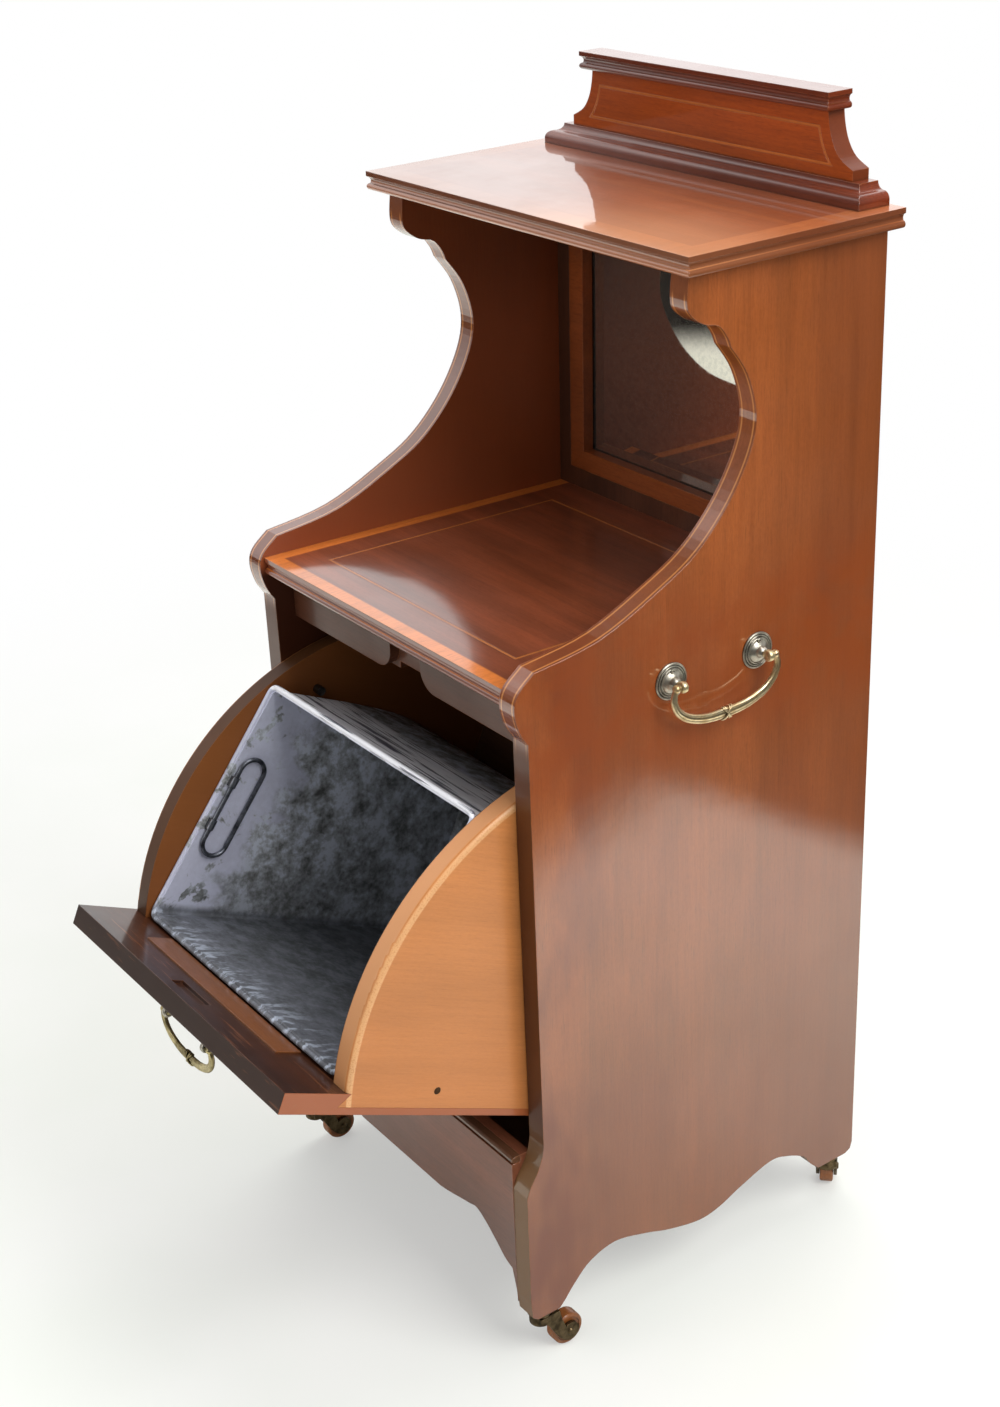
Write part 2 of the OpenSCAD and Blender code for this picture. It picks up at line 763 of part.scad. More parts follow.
// Plan of the liner with round corners, drawn in by e
module liner_plan(e = 0) {
    r = liner_corner_r - e;
    x = wall_x - e;
    d0 = wall_back + e;
    d1 = wall_front - e;
    polygon(concat(
        arc([x - r, r - d1], r, -90, 0),
        arc([x - r, -r - d0], r, 0, 90),
        arc([r - x, -r - d0], r, 90, 180),
        arc([r - x, r - d1], r, 180, 270)));
}

module liner_shell() {
    tall = 2 * rim_front_z;
    difference() {
        intersection() {
            along_x(-wall_x, 2 * wall_x) liner_outline();
            linear_extrude(tall) liner_plan();
        }
        intersection() {
            along_x(-wall_x, 2 * wall_x) intersection() {
                translate([sheet_t, 0]) liner_outline(50);
                translate([-sheet_t, 0]) liner_outline(50);
                translate([0, sheet_t]) liner_outline(50);
            }
            linear_extrude(tall) liner_plan(sheet_t);
        }
    }
}

module liner_tub() {
    color("#b4bcc4") placed() tipped() liner_shell();
}

// Wired rim: a tube round the outside of the four walls, in the slope of their upper edges
module liner_rim() {
    l = norm([rim_front_d - rim_back_d, rim_front_z - rim_back_z]);
    bend = liner_corner_r + rim_r;
    color("#c8ced4") placed() tipped()
        translate([0, -(rim_front_d + rim_back_d) / 2, (rim_front_z + rim_back_z) / 2])
            rotate([-liner_slope, 0, 0]) both_sides() {
                translate([rim_x, 0, 0]) rotate([90, 0, 0])
                    cylinder(h = l - 2 * bend, r = rim_r, center = true);
                for (s = [-1, 1]) {
                    translate([0, s * l / 2, 0]) rotate([0, 90, 0])
                        cylinder(h = rim_x - bend, r = rim_r);
                    translate([rim_x - bend, s * (l / 2 - bend), 0]) rotate([0, 0, 45 * s - 45])
                        rotate_extrude(angle = 90) translate([bend, 0]) circle(r = rim_r, $fn = 24);
                }
            }
}

// Places of the liner handles' axes, along the rim and just inside the wall
grip_below = 6;
clip_r = wire_r + 1.2;
grip_x = wall_x - sheet_t - clip_r;
grip_mid = [liner_grip_d, rim_back_z + (liner_grip_d - rim_back_d) * tan(liner_slope)
    - grip_below / cos(liner_slope)];

// Moves what is drawn along x, hanging down, to the right-hand liner handle's axis
module at_grip() {
    translate([grip_x, -grip_mid[0], grip_mid[1]])
        rotate([-liner_slope, 0, 0]) rotate([0, 0, -90]) children();
}

clip_l = 9;
clip_gap = 40;

module liner_clips() {
    color("#6e7276") placed() tipped() both_sides() at_grip() difference() {
        for (s = [-1, 1]) translate([s * clip_gap / 2, 0, 0]) {
            rotate([0, 90, 0]) cylinder(h = clip_l, r = clip_r, center = true);
            translate([-clip_l / 2, 0, -clip_r]) cube([clip_l, clip_r, 2 * clip_r]);
        }
        rotate([0, 90, 0]) cylinder(h = clip_gap + 2 * clip_l, r = wire_r + run_fit, center = true);
    }
}

// Stadium of wire, its upper side on the axis
module liner_handle_right() {
    l = liner_grip_l - liner_grip_h;
    h = liner_grip_h - 2 * wire_r;
    color("#9aa0a6") placed() tipped() at_grip() {
        for (z = [0, -h]) translate([0, 0, z])
            rotate([0, 90, 0]) cylinder(h = l, r = wire_r, center = true);
        for (s = [-1, 1]) translate([s * l / 2, 0, -h / 2])
            rotate([90, 0, 0]) rotate([0, 0, -90 * s]) rotate_extrude(angle = 180)
                translate([h / 2, 0]) circle(r = wire_r, $fn = 24);
    }
}

module liner_handle_left() {
    mirror([1, 0, 0]) liner_handle_right();
}

/* Brass handles */

eye_r = 4.6;
eye_w = 5;
rim_h = 1.4;
dome_h = 4;
boss_ball_r = 5;

// Domed rosette with a ball, and a post on the face at z 0, with an eye across x
module rosette() {
    foot_r = rosette_r - 1.4;
    dome_r = (foot_r * foot_r + dome_h * dome_h) / (2 * dome_h);
    difference() {
        union() {
            cylinder(h = rim_h, r = rosette_r);
            rotate_extrude() intersection() {
                translate([0, rim_h + dome_h - dome_r]) circle(r = dome_r, $fn = 128);
                square([rosette_r, rim_h + dome_h]);
            }
            translate([0, 0, rim_h + dome_h - 0.4]) sphere(r = boss_ball_r);
            cylinder(h = post_h, r = eye_w / 2);
            translate([-eye_w / 2, 0, post_h]) rotate([0, 90, 0]) cylinder(h = eye_w, r = eye_r);
        }
        translate([-eye_w, 0, post_h]) rotate([0, 90, 0])
            cylinder(h = 2 * eye_w, r = bail_r + run_fit);
        translate([0, 0, -rosette_r]) cube(2 * [rosette_r, rosette_r, rosette_r], center = true);
    }
}

// Half of a bail's middle line, in shares of its half width at the posts and of its drop
bail_line = [[0, -1], [0.25, -0.99], [0.5, -0.94], [0.77, -0.8], [0.95, -0.6], [1.035, -0.38],
    [1.05, -0.23], [1.03, -0.1], [1, 0]];

// One side of a bail's band, which narrows from its middle to its end
function band_side(p, side) = [for (i = [0:len(p) - 1])
    let (before = i == 0 ? [-p[1][0], p[1][1]] : p[i - 1], t = p[min(i + 1, len(p) - 1)] - before)
        p[i] + side * (bail_mid_r + (bail_r - bail_mid_r) * i / (len(p) - 1)) * [-t[1], t[0]] / norm(t)];

// Bail for posts p apart: a crescent that hangs from the axis along x down to z -drop
module bail(p, drop) {
    knob_r = bail_r + 1;
    arm = p / 2 + eye_w / 2 + gap + knob_r;
    line = concat(curve([for (q = bail_line) [q[0] * arm, q[1] * drop]], 4), [[arm, 0]]);
    inner = band_side(line, 1);
    both_sides() {
        translate([0, bail_r, 0]) rotate([90, 0, 0]) linear_extrude(2 * bail_r)
            polygon(concat(band_side(line, -1), [for (i = [len(line) - 1:-1:0]) inner[i]]));
        translate([arm, 0, 0]) sphere(r = knob_r, $fn = 32);
        translate([p / 2 - eye_w / 2 - gap, 0, 0]) rotate([0, 90, 0])
            cylinder(h = arm - p / 2 + eye_w / 2 + gap, r = bail_r);
    }
}

// Moves what is drawn on z 0 to the right-hand side of the cabinet
module on_side() {
    translate([cabinet_w / 2, -side_handle_d, side_handle_z]) rotate([90, 0, 90]) children();
}

module side_rosettes_right() {
    color("#6e6a62") placed() on_side()
        for (s = [-1, 1]) translate([s * side_post_gap / 2, 0, 0]) rosette();
}

module side_rosettes_left() {
    mirror([1, 0, 0]) side_rosettes_right();
}

module side_bail_right() {
    color("#dccda0") placed()
        translate([cabinet_w / 2 + post_h, -side_handle_d, side_handle_z])
            rotate([0, 0, 90]) bail(side_post_gap, side_bail_drop);
}

module side_bail_left() {
    mirror([1, 0, 0]) side_bail_right();
}

module door_rosettes() {
    color("#6e6a62") placed() tipped() translate([0, -front_d, door_handle_z]) rotate([90, 0, 0])
        for (s = [-1, 1]) translate([s * door_post_gap / 2, 0, 0]) rosette();
}

// The door's bail hangs plumb with the coal box open
module door_bail() {
    axis = opened([front_d + post_h, door_handle_z]);
    color("#dccda0") placed() translate([0, -axis[0], axis[1]])
        bail(door_post_gap, door_bail_drop);
}

/* Castors */

plate_h = 2.7;
boss_r = 9.3;
boss_h = 8;
pintle_r = 3.5;
axle_r = 2;
boss_top = foot_z - plate_h - gap;
boss_z = boss_top - boss_h;
arm_y = wheel_w / 2 + 0.4;

// Castor number i of four: front right, front left, back right, back left
function castor_at(i) = [(i % 2 == 0 ? 1 : -1) * castor_x, i < 2 ? -castor_front_d : -castor_back_d, 0];
function castor_turn(i) = i < 2 ? 90 + front_turn : (i % 2 == 0 ? 90 + back_turn : 90 - back_turn);

module at_castor(i) {
    placed() translate(castor_at(i)) rotate([0, 0, castor_turn(i)]) children();
}

// Plates under the feet, each with a pintle and the collar that keeps its castor on
module castor_plates() {
    color("#4a4538") for (i = [0:3]) at_castor(i) {
        translate([0, 0, foot_z - plate_h]) cylinder(h = plate_h, r = boss_r);
        translate([0, 0, boss_z - 3]) cylinder(h = foot_z - boss_z + 3 - plate_h, r = pintle_r);
        translate([0, 0, boss_z - gap - 2.7]) cylinder(h = 2.7, r = pintle_r + 2);
    }
}

// Swivelling boss with two broad arms that slope back and down to the axle
module castor_horn(i) {
    color("#55503f") at_castor(i) difference() {
        union() {
            translate([0, 0, boss_z]) cylinder(h = boss_h, r = boss_r);
            for (y = [-arm_y, arm_y + horn_t]) translate([0, y, 0]) rotate([90, 0, 0])
                linear_extrude(horn_t) horn_outline();
        }
        translate([0, 0, boss_z - cut]) cylinder(h = boss_h + 2 * cut, r = pintle_r + run_fit);
        translate([0, 0, boss_z - gap - 3]) cylinder(h = 3 + gap, r = pintle_r + 2 + gap);
        translate([castor_trail, 0, wheel_r]) rotate([90, 0, 0])
            cylinder(h = 4 * arm_y, r = axle_r, center = true);
    }
}

// Outline of an arm: upright under the boss, then sloping to a round end about the axle
horn_end_r = 8.6;

module horn_outline() {
    polygon(concat(
        arc([castor_trail, wheel_r], horn_end_r, -115, 130, 16),
        curve([[castor_trail - 5.2, wheel_r + 8.8], [castor_trail - 8.6, wheel_r + 17.6],
            [castor_trail - 10.6, boss_top]]),
        [[castor_trail - 10.6, boss_top], [-6, boss_top]],
        curve([[-6, boss_z + 2], [0.6, boss_z - 0.4], [5.6, wheel_r + 11], [10.6, wheel_r + 2],
            [castor_trail - 7.4, wheel_r - 5.4]])));
}

module castor_axle(i) {
    color("#6a6455") at_castor(i) translate([castor_trail, 0, wheel_r]) rotate([90, 0, 0]) {
        cylinder(h = 2 * (arm_y + horn_t), r = axle_r, center = true);
        for (s = [0, 1]) mirror([0, 0, s]) translate([0, 0, arm_y + horn_t])
            cylinder(h = 1.2, r1 = axle_r + 1.4, r2 = axle_r + 0.4);
    }
}

module castor_wheel(i) {
    color("#a0642d") at_castor(i) translate([castor_trail, wheel_w / 2, wheel_r]) rotate([90, 0, 0])
        rotate_extrude() wheel_section();
}

// Half section of a wheel with a rounded tread and a shallow dish in each face
module wheel_section() {
    r = 1.8;
    difference() {
        union() {
            translate([axle_r + run_fit, 0]) square([wheel_r - axle_r - run_fit - r, wheel_w]);
            translate([wheel_r - r - 1, r]) square([r + 1, wheel_w - 2 * r]);
            for (y = [r, wheel_w - r]) translate([wheel_r - r, y]) circle(r = r);
        }
        for (y = [-cut, wheel_w - 0.8]) translate([6, y]) square([5, cut + 0.8]);
    }
}

module castor_horn_fr() { castor_horn(0); }
module castor_horn_fl() { castor_horn(1); }
module castor_horn_br() { castor_horn(2); }
module castor_horn_bl() { castor_horn(3); }
module castor_axle_fr() { castor_axle(0); }
module castor_axle_fl() { castor_axle(1); }
module castor_axle_br() { castor_axle(2); }
module castor_axle_bl() { castor_axle(3); }
module castor_wheel_fr() { castor_wheel(0); }
module castor_wheel_fl() { castor_wheel(1); }
module castor_wheel_br() { castor_wheel(2); }
module castor_wheel_bl() { castor_wheel(3); }

side_panel_right();
side_panel_left();
top_board();
gallery_base();
gallery_panel();
gallery_cap();
gallery_string();
shelf();
shelf_string();
shelf_rail();
mirror_frame();
mirror_moulding();
mirror_glass();
back_board_upper();
back_board_lower();
cabinet_floor();
front_apron();
apron_bead();
stop_batten();
glue_blocks();
pivot_pins();
side_rosettes_right();
side_rosettes_left();
castor_plates();
door_panel();
door_string();
quadrant_right();
quadrant_left();
box_floor();
door_strip();
liner_pegs();
quadrant_screws();
door_rosettes();
door_bail();
side_bail_right();
side_bail_left();
liner_tub();
liner_rim();
liner_clips();
liner_handle_right();
liner_handle_left();
castor_horn_fr();
castor_horn_fl();
castor_horn_br();
castor_horn_bl();
castor_axle_fr();
castor_axle_fl();
castor_axle_br();
castor_axle_bl();
castor_wheel_fr();
castor_wheel_fl();
castor_wheel_br();
castor_wheel_bl();
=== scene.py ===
"""Looks of the coal cabinet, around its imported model. Metres, the model's own frame."""

import math

import bmesh
import bpy
from mathutils import Matrix, Vector


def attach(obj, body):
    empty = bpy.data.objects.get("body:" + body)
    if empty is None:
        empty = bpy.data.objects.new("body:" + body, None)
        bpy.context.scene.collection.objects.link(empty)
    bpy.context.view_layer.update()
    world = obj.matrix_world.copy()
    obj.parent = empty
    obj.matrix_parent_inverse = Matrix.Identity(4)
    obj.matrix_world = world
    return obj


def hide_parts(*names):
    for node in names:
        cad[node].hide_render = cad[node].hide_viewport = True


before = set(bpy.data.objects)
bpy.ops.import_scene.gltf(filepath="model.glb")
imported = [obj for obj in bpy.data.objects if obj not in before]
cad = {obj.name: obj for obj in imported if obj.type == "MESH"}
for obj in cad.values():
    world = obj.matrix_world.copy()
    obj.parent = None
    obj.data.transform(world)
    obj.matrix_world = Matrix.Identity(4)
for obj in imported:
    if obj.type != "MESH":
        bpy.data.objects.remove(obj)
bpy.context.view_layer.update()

MM = 0.001
# The coal box turns this far from shut to its open rest pose
OPEN_ANGLE = math.radians(64.6)
# Depths count from the back edge of the sides, which lies at this y
BACK_Y = 0.274005
PIVOT_DEPTH, PIVOT_Z = 0.264, 0.2805
PIVOT = Vector((0, BACK_Y - PIVOT_DEPTH, PIVOT_Z))
# Outer and inner face of a side
SIDE_X, INNER_X = 0.187, 0.1683
# Depths of the shut door's face, the front edges of the top and the shelf, and the mirror frame
DOOR_DEPTH, TOP_DEPTH, SHELF_DEPTH, MIRROR_DEPTH = 0.3406, 0.203, 0.3472, 0.039
# Half the top's width, and its overhang behind the sides
TOP_HALF_W, TOP_OVERHANG = 0.2015, 0.003
# Height over which a side's inner face turns to a darker painted shade, just under the shelf
UNDER_SHELF = (0.6, 0.588)


# ---------------------------------------------------------------- shader graphs


def is_socket(value):
    return isinstance(value, bpy.types.NodeSocket)


class Graph:
    """Builds the nodes of one material or world. Each method adds a node and gives its output."""

    def __init__(self, name, kind="materials"):
        self.owner = getattr(bpy.data, kind).new(name)
        self.owner.use_nodes = True
        self.nodes = self.owner.node_tree.nodes
        self.links = self.owner.node_tree.links
        self.nodes.clear()

    def node(self, kind, inputs=None, out=0, **settings):
        made = self.nodes.new("ShaderNode" + kind)
        for key, value in settings.items():
            setattr(made, key, value)
        for key, value in (inputs or {}).items():
            if is_socket(value):
                self.links.new(value, made.inputs[key])
            else:
                made.inputs[key].default_value = value
        return made.outputs[out] if made.outputs else None

    def place(self, scale=(1, 1, 1), turn=0.0, shift=(0, 0, 0)):
        """Object coordinates, turned about x and then scaled."""
        here = self.node("TexCoord", out="Object")
        if turn:
            here = self.node("Mapping", {"Vector": here, "Rotation": (turn, 0, 0)})
        return self.node("Mapping", {"Vector": here, "Scale": scale, "Location": shift})

    def shut(self):
        """Place in the shut coal box: across, depth from the back edge, and height."""
        turn = Matrix.Rotation(-OPEN_ANGLE, 3, "X")
        mapping = {
            "Vector": self.node("TexCoord", out="Object"),
            "Rotation": (-OPEN_ANGLE, 0, 0),
            "Location": PIVOT - turn @ PIVOT,
        }
        x, y, z = self.split(self.node("Mapping", mapping))
        return x, self.minus(BACK_Y, y), z

    def split(self, where):
        made = self.nodes.new("ShaderNodeSeparateXYZ")
        self.links.new(where, made.inputs[0])
        return made.outputs

    def facing(self):
        """The face's own normal, split."""
        return self.split(self.node("NewGeometry", out="True Normal"))

    def noise(self, where, scale, detail=3.0, rough=0.55, distortion=0.0):
        inputs = {
            "Vector": where,
            "Scale": scale,
            "Detail": detail,
            "Roughness": rough,
            "Distortion": distortion,
        }
        return self.node("TexNoise", inputs)

    def ramp(self, value, stops):
        made = self.nodes.new("ShaderNodeValToRGB")
        elements = made.color_ramp.elements
        while len(elements) < len(stops):
            elements.new(0.5)
        for element, (at, colour) in zip(elements, stops):
            element.position = at
            element.color = (*colour, 1)
        self.links.new(value, made.inputs["Fac"])
        return made.outputs["Color"]

    def between(self, value, low, high, to_low=0.0, to_high=1.0):
        """Smooth step of a value from low to high."""
        inputs = {
            "Value": value,
            "From Min": low,
            "From Max": high,
            "To Min": to_low,
            "To Max": to_high,
        }
        return self.node("MapRange", inputs, interpolation_type="SMOOTHSTEP")

    def sums(self, operation, a, b=0.0, c=0.0):
        return self.node("Math", {0: a, 1: b, 2: c}, operation=operation)

    def times(self, first, *others):
        for other in others:
            first = self.sums("MULTIPLY", first, other)
        return first

    def minus(self, a, b):
        return self.sums("SUBTRACT", a, b)

    def size(self, a):
        return self.sums("ABSOLUTE", a)

    def mix(self, amount, a, b, blend="MIX"):
        """Colour a with b laid over it by the amount."""
        a, b = (v if is_socket(v) else (*v, 1) for v in (a, b))
        inputs = {0: amount, 6: a, 7: b}
        return self.node("Mix", inputs, 2, data_type="RGBA", blend_type=blend)

    def bump(self, height, distance, normal):
        return self.node("Bump", {"Height": height, "Distance": distance, "Normal": normal})

    def rounded(self, radius):
        """Normal softened over the arrises."""
        return self.node("Bevel", {"Radius": radius}, samples=4)

    def worn(self, soft):
        """How far the softened normal leaves the true one: 1 on an arris."""
        true = self.node("NewGeometry", out="True Normal")
        match = self.node("VectorMath", {0: soft, 1: true}, "Value", operation="DOT_PRODUCT")
        return self.between(match, 0.995, 0.86)

    def hidden(self, distance):
        """Light that reaches the place from around it: 0 deep in a hollow."""
        return self.node("AmbientOcclusion", {"Distance": distance}, "AO", samples=4)

    def finish(self, inputs):
        shader = self.node("BsdfPrincipled", inputs)
        self.node("OutputMaterial", {"Surface": shader})
        return self.owner


def srgb(r, g, b):
    """Linear colour from an 8-bit one."""
    return tuple(
        (v / 255 / 12.92) if v <= 10 else ((v / 255 + 0.055) / 1.055) ** 2.4 for v in (r, g, b)
    )


# ---------------------------------------------------------------- wood

# Share of the grain's length kept along it, for each axis of the board
GRAIN = {"x": (0.045, 1, 1), "y": (1, 0.045, 1), "z": (1, 1, 0.045)}
# Colour that hollows darken to: polish build-up and painted shade
GRIME_AND_SHADE = srgb(38, 17, 9)
# Own gloss of the fibres where it is strong enough to take the wood's colour
FIBRE_GLOSS = (1, 0.5, 0.28, 1)


def tones(r, g, b, spread=0.12):
    """Dark, middle and light tone of one wood."""
    return tuple(srgb(r * k, g * k, b * k) for k in (1 - spread, 1.0, 1 + spread))


MAHOGANY = tones(145, 78, 34)
TOP_MAHOGANY = tones(146, 76, 42, 0.13)
GALLERY_MAHOGANY = tones(112, 44, 14, 0.16)
GALLERY_PANEL = tones(170, 74, 8)
DARK_MAHOGANY = tones(78, 45, 30, 0.2)
RED_MAHOGANY = tones(126, 65, 40, 0.26)
APRON_MAHOGANY = tones(110, 64, 45, 0.2)
DOOR_MAHOGANY = tones(70, 38, 22, 0.3)
BOX_WOOD = tones(192, 122, 66, 0.07)
TOP_CROSSBAND = tones(172, 98, 54)
SHELF_CROSSBAND = tones(214, 122, 50)
PINE = tones(84, 54, 34, 0.16)
WHEEL_WOOD = tones(142, 84, 40, 0.2)
RUBBED = srgb(196, 122, 70)
STRING = srgb(206, 134, 72)
# Painted shade on the inner faces of the box sides
BOX_INSIDE_SHADE = srgb(122, 70, 32)


def figure(g, grain, turn, shift, wood, depth=1.0):
    """Colour of mahogany, and its fibre: broad ribbon, then fibre, flecks and pores by depth."""
    dark, mid, light = wood
    stretch = GRAIN[grain]
    along = g.place(stretch, turn, shift)
    loose = g.place(tuple(0.3 if s < 1 else 1 for s in stretch), turn, shift)
    ribbon = g.noise(along, 34, 3, 0.6, 0.4)
    cloud = g.noise(loose, 11, 3, 0.55)
    tone = g.sums("MULTIPLY_ADD", cloud, 0.6, g.times(ribbon, 0.5))
    colour = g.ramp(tone, [(0.38, dark), (0.55, mid), (0.74, light)])
    fibre = g.noise(along, 420, 2, 0.7)
    fibre_tone = g.ramp(fibre, [(0.3, (0.86, 0.82, 0.78)), (0.62, (1, 1, 1))])
    colour = g.mix(depth, colour, fibre_tone, "MULTIPLY")
    fleck = g.noise(loose, 700, 2, 0.6)
    fleck_tone = g.ramp(fleck, [(0.3, (0.9, 0.87, 0.84)), (0.6, (1.03, 1.02, 1.0))])
    colour = g.mix(depth, colour, fleck_tone, "MULTIPLY")
    pores = g.between(g.noise(along, 1100, 1, 0.5), 0.64, 0.74)
    colour = g.mix(g.times(pores, 0.3 * depth), colour, tuple(v * 0.3 for v in dark))
    return colour, fibre


def polished(
    g,
    colour,
    fibre,
    coat_rough,
    edge=RUBBED,
    soft=None,
    rough=0.42,
    coat=1.0,
    rub=0.5,
    grime=0.0,
    sheen=0.25,
):
    """French polish over wood: a clear coat that waves slightly, arrises rubbed to edge by rub,
    and hollows darkened by ambient occlusion, partly polish build-up and partly painted shade.
    sheen is the strength of the fibres' own gloss."""
    soft = soft or g.rounded(0.9 * MM)
    # Hollows darkened by ambient occlusion: polish build-up and painted shade
    if grime:
        hollow = g.between(g.hidden(5 * MM), 0.75, 0.35, 0.0, grime)
        colour = g.mix(hollow, colour, GRIME_AND_SHADE)
    rubbed = g.times(g.worn(soft), g.between(g.noise(g.place(), 60, 2), 0.3, 0.62))
    colour = g.mix(g.times(rubbed, rub), colour, edge)
    wave = g.noise(g.place(), 38, 2, 0.5)
    haze = g.between(g.noise(g.place(), 14, 3), 0.3, 0.7, rough - 0.06, rough + 0.08)
    return g.finish(
        {
            "Base Color": colour,
            "Roughness": haze,
            "Normal": g.bump(fibre, 0.00003, soft),
            "Coat Weight": coat,
            "Coat Roughness": coat_rough,
            "Coat IOR": 1.8,
            "Coat Normal": g.bump(wave, 0.00008, soft),
            "Specular IOR Level": sheen,
            "Specular Tint": FIBRE_GLOSS if sheen > 0.5 else (1, 1, 1, 1),
        }
    )


def board(name, wood, grain="x", turn=0.0, shift=(0, 0, 0), **more):
    g = Graph(name)
    colour, fibre = figure(g, grain, turn, shift, wood)
    return polished(g, colour, fibre, **more)


def side_wood():
    """A side: strings let into its scoop's edge, and a duller inner face. Painted shade darkens
    the inner face, the left side's edges and the edges below the nose, and a painted reflection of
    the floor greys those edges at the feet.
    """
    nose, horn = (0.545, 0.575), (0.866, 0.858)
    foot_z, ankle_z = 0.18, 0.24
    string_from_middle = 6.4 * MM
    g = Graph("side_mahogany")
    colour, fibre = figure(g, "z", 0, (0.3, 0.1, 0), MAHOGANY)
    soft = g.rounded(1.1 * MM)
    x, y, z = g.split(g.place())
    out_x = g.size(x)
    on_edge = g.between(g.size(g.facing()[0]), 0.5, 0.2)

    # The whole side: darker to the back and below, clouded in front, orange about the handle
    colour = g.mix(g.between(y, 0.12, 0.28, 0.0, 0.55), colour, srgb(108, 52, 22))
    colour = g.mix(g.between(z, 0.45, 0.12, 0.0, 0.5), colour, srgb(128, 80, 54))
    cloud = g.between(g.noise(g.place((1, 1, 0.4)), 12, 3, 0.6), 0.36, 0.62)
    front = g.times(g.between(y, 0.03, -0.06, 0.25, 0.8), g.between(z, 0.7, 0.6))
    colour = g.mix(g.times(front, cloud), colour, srgb(102, 44, 20))
    glow = g.times(g.between(z, 0.48, 0.54), g.between(z, 0.68, 0.6))
    patch = g.between(g.noise(g.place(), 26, 4, 0.65), 0.38, 0.6, 0.25, 0.65)
    colour = g.mix(g.times(glow, patch), colour, srgb(134, 58, 8))

    # The edges: darker on the left side as painted shade, with two strings from the nose up to the
    # horn
    left = g.between(x, 0.0, -0.1, 0.3, 0.6)
    edge_tone = g.mix(g.times(on_edge, left), colour, srgb(96, 46, 22))
    from_middle = g.size(g.minus(out_x, (SIDE_X + INNER_X) / 2))
    off_string = g.size(g.minus(from_middle, string_from_middle))
    line = g.between(off_string, 0.95 * MM, 0.6 * MM)
    span = g.times(g.between(z, *nose), g.between(z, *horn))
    colour = g.mix(g.times(line, on_edge, span, 0.75), edge_tone, STRING)

    # The inner face: painted shade, dark at the top above the shelf, paler lower down, and dark
    # under the shelf
    inner = g.between(out_x, INNER_X + 0.6 * MM, INNER_X + 0.2 * MM)
    niche_shade = g.mix(g.between(z, 0.84, 0.72), srgb(98, 44, 22), srgb(142, 72, 42))
    niche_shade = g.mix(g.between(z, *UNDER_SHELF), niche_shade, srgb(62, 32, 20))
    colour = g.mix(g.times(inner, g.between(z, *UNDER_SHELF, 0.75, 0.92)), colour, niche_shade)

    # The edges below the nose: darkened as painted shade, and greyer at the feet as a painted
    # reflection of the floor
    below = g.times(on_edge, g.between(z, 0.575, 0.55))
    painted_leg_edge = g.mix(g.between(z, ankle_z, foot_z), srgb(66, 34, 12), srgb(116, 88, 56))
    colour = g.mix(g.times(below, 0.8), colour, painted_leg_edge)
    above_foot = g.between(z, foot_z, ankle_z, 0.6, 1.0)
    dull = g.sums("MAXIMUM", inner, g.times(below, above_foot))
    coat = g.between(dull, 0.0, 1.0, 1.0, 0.22)
    return polished(g, colour, fibre, 0.07, soft=soft, coat=coat)


def quadrant_wood(name, edge_tone, coat):
    """A box side: darker towards its bottom and on its inner face, both painted shade, and striped
    at the rounded arris.
    """
    stripe_start, stripe_end = (0.2362, 0.2376), (0.2417, 0.2408)
    inner_face = (0.1501, 0.1497)
    g = Graph(name)
    colour, fibre = figure(g, "z", -OPEN_ANGLE, (0.5, 0.2, 0.1), BOX_WOOD, 0.45)
    x, depth, height = g.shut()
    z = g.split(g.place())[2]
    # Darker towards the bottom: painted shade
    colour = g.mix(g.between(z, 0.42, 0.24, 0.0, 0.3), colour, srgb(168, 100, 50))
    level = g.minus(depth, PIVOT_DEPTH)
    rise = g.minus(height, PIVOT_Z)
    radius = g.sums("SQRT", g.sums("MULTIPLY_ADD", level, level, g.times(rise, rise)))
    stripe = g.times(g.between(radius, *stripe_start), g.between(radius, *stripe_end))
    broken = g.between(g.noise(g.place(), 900, 2, 0.6), 0.35, 0.5, 0.55, 1.0)
    out_x = g.size(x)
    outer = g.between(out_x, 0.155, 0.16)
    colour = g.mix(g.times(stripe, broken, outer, 0.6), colour, srgb(232, 184, 132))
    on_edge = g.between(g.size(g.facing()[0]), 0.35, 0.15)
    colour = g.mix(g.times(on_edge, 0.9), colour, edge_tone)
    # Darker on the inner face: painted shade
    inner = g.between(out_x, *inner_face)
    colour = g.mix(g.times(inner, 0.85), colour, BOX_INSIDE_SHADE)
    edge = srgb(222, 160, 100)
    return polished(g, colour, fibre, 0.25, edge, rough=0.5, coat=coat, rub=coat)


def door_wood():
    """The door: darker towards its upper edge, scratched, and paler on its end grain."""
    upper_edge, door_end = (0.548, 0.58), (0.15, 0.155)
    g = Graph("door_mahogany")
    colour, fibre = figure(g, "x", -OPEN_ANGLE, (0.1, 0.3, 0.8), DOOR_MAHOGANY)
    x, _, height = g.shut()
    cloud = g.noise(g.place(), 22, 3, 0.6)
    dusk = g.sums("MULTIPLY_ADD", cloud, 0.03, height)
    colour = g.mix(g.between(dusk, *upper_edge, 0.0, 0.75), colour, srgb(44, 27, 22))
    sideways = g.between(g.size(g.facing()[0]), 0.5, 0.8)
    at_end = g.times(sideways, g.between(g.size(x), *door_end))
    colour = g.mix(g.times(at_end, 0.9), colour, srgb(160, 84, 42))
    scratch = g.noise(g.place((0.06, 1, 1), 0.5), 260, 3, 0.7)
    colour = g.mix(g.between(scratch, 0.6, 0.66, 0.0, 0.3), colour, srgb(150, 92, 58))
    return polished(g, colour, fibre, 0.12, coat=0.45, rub=0.2)


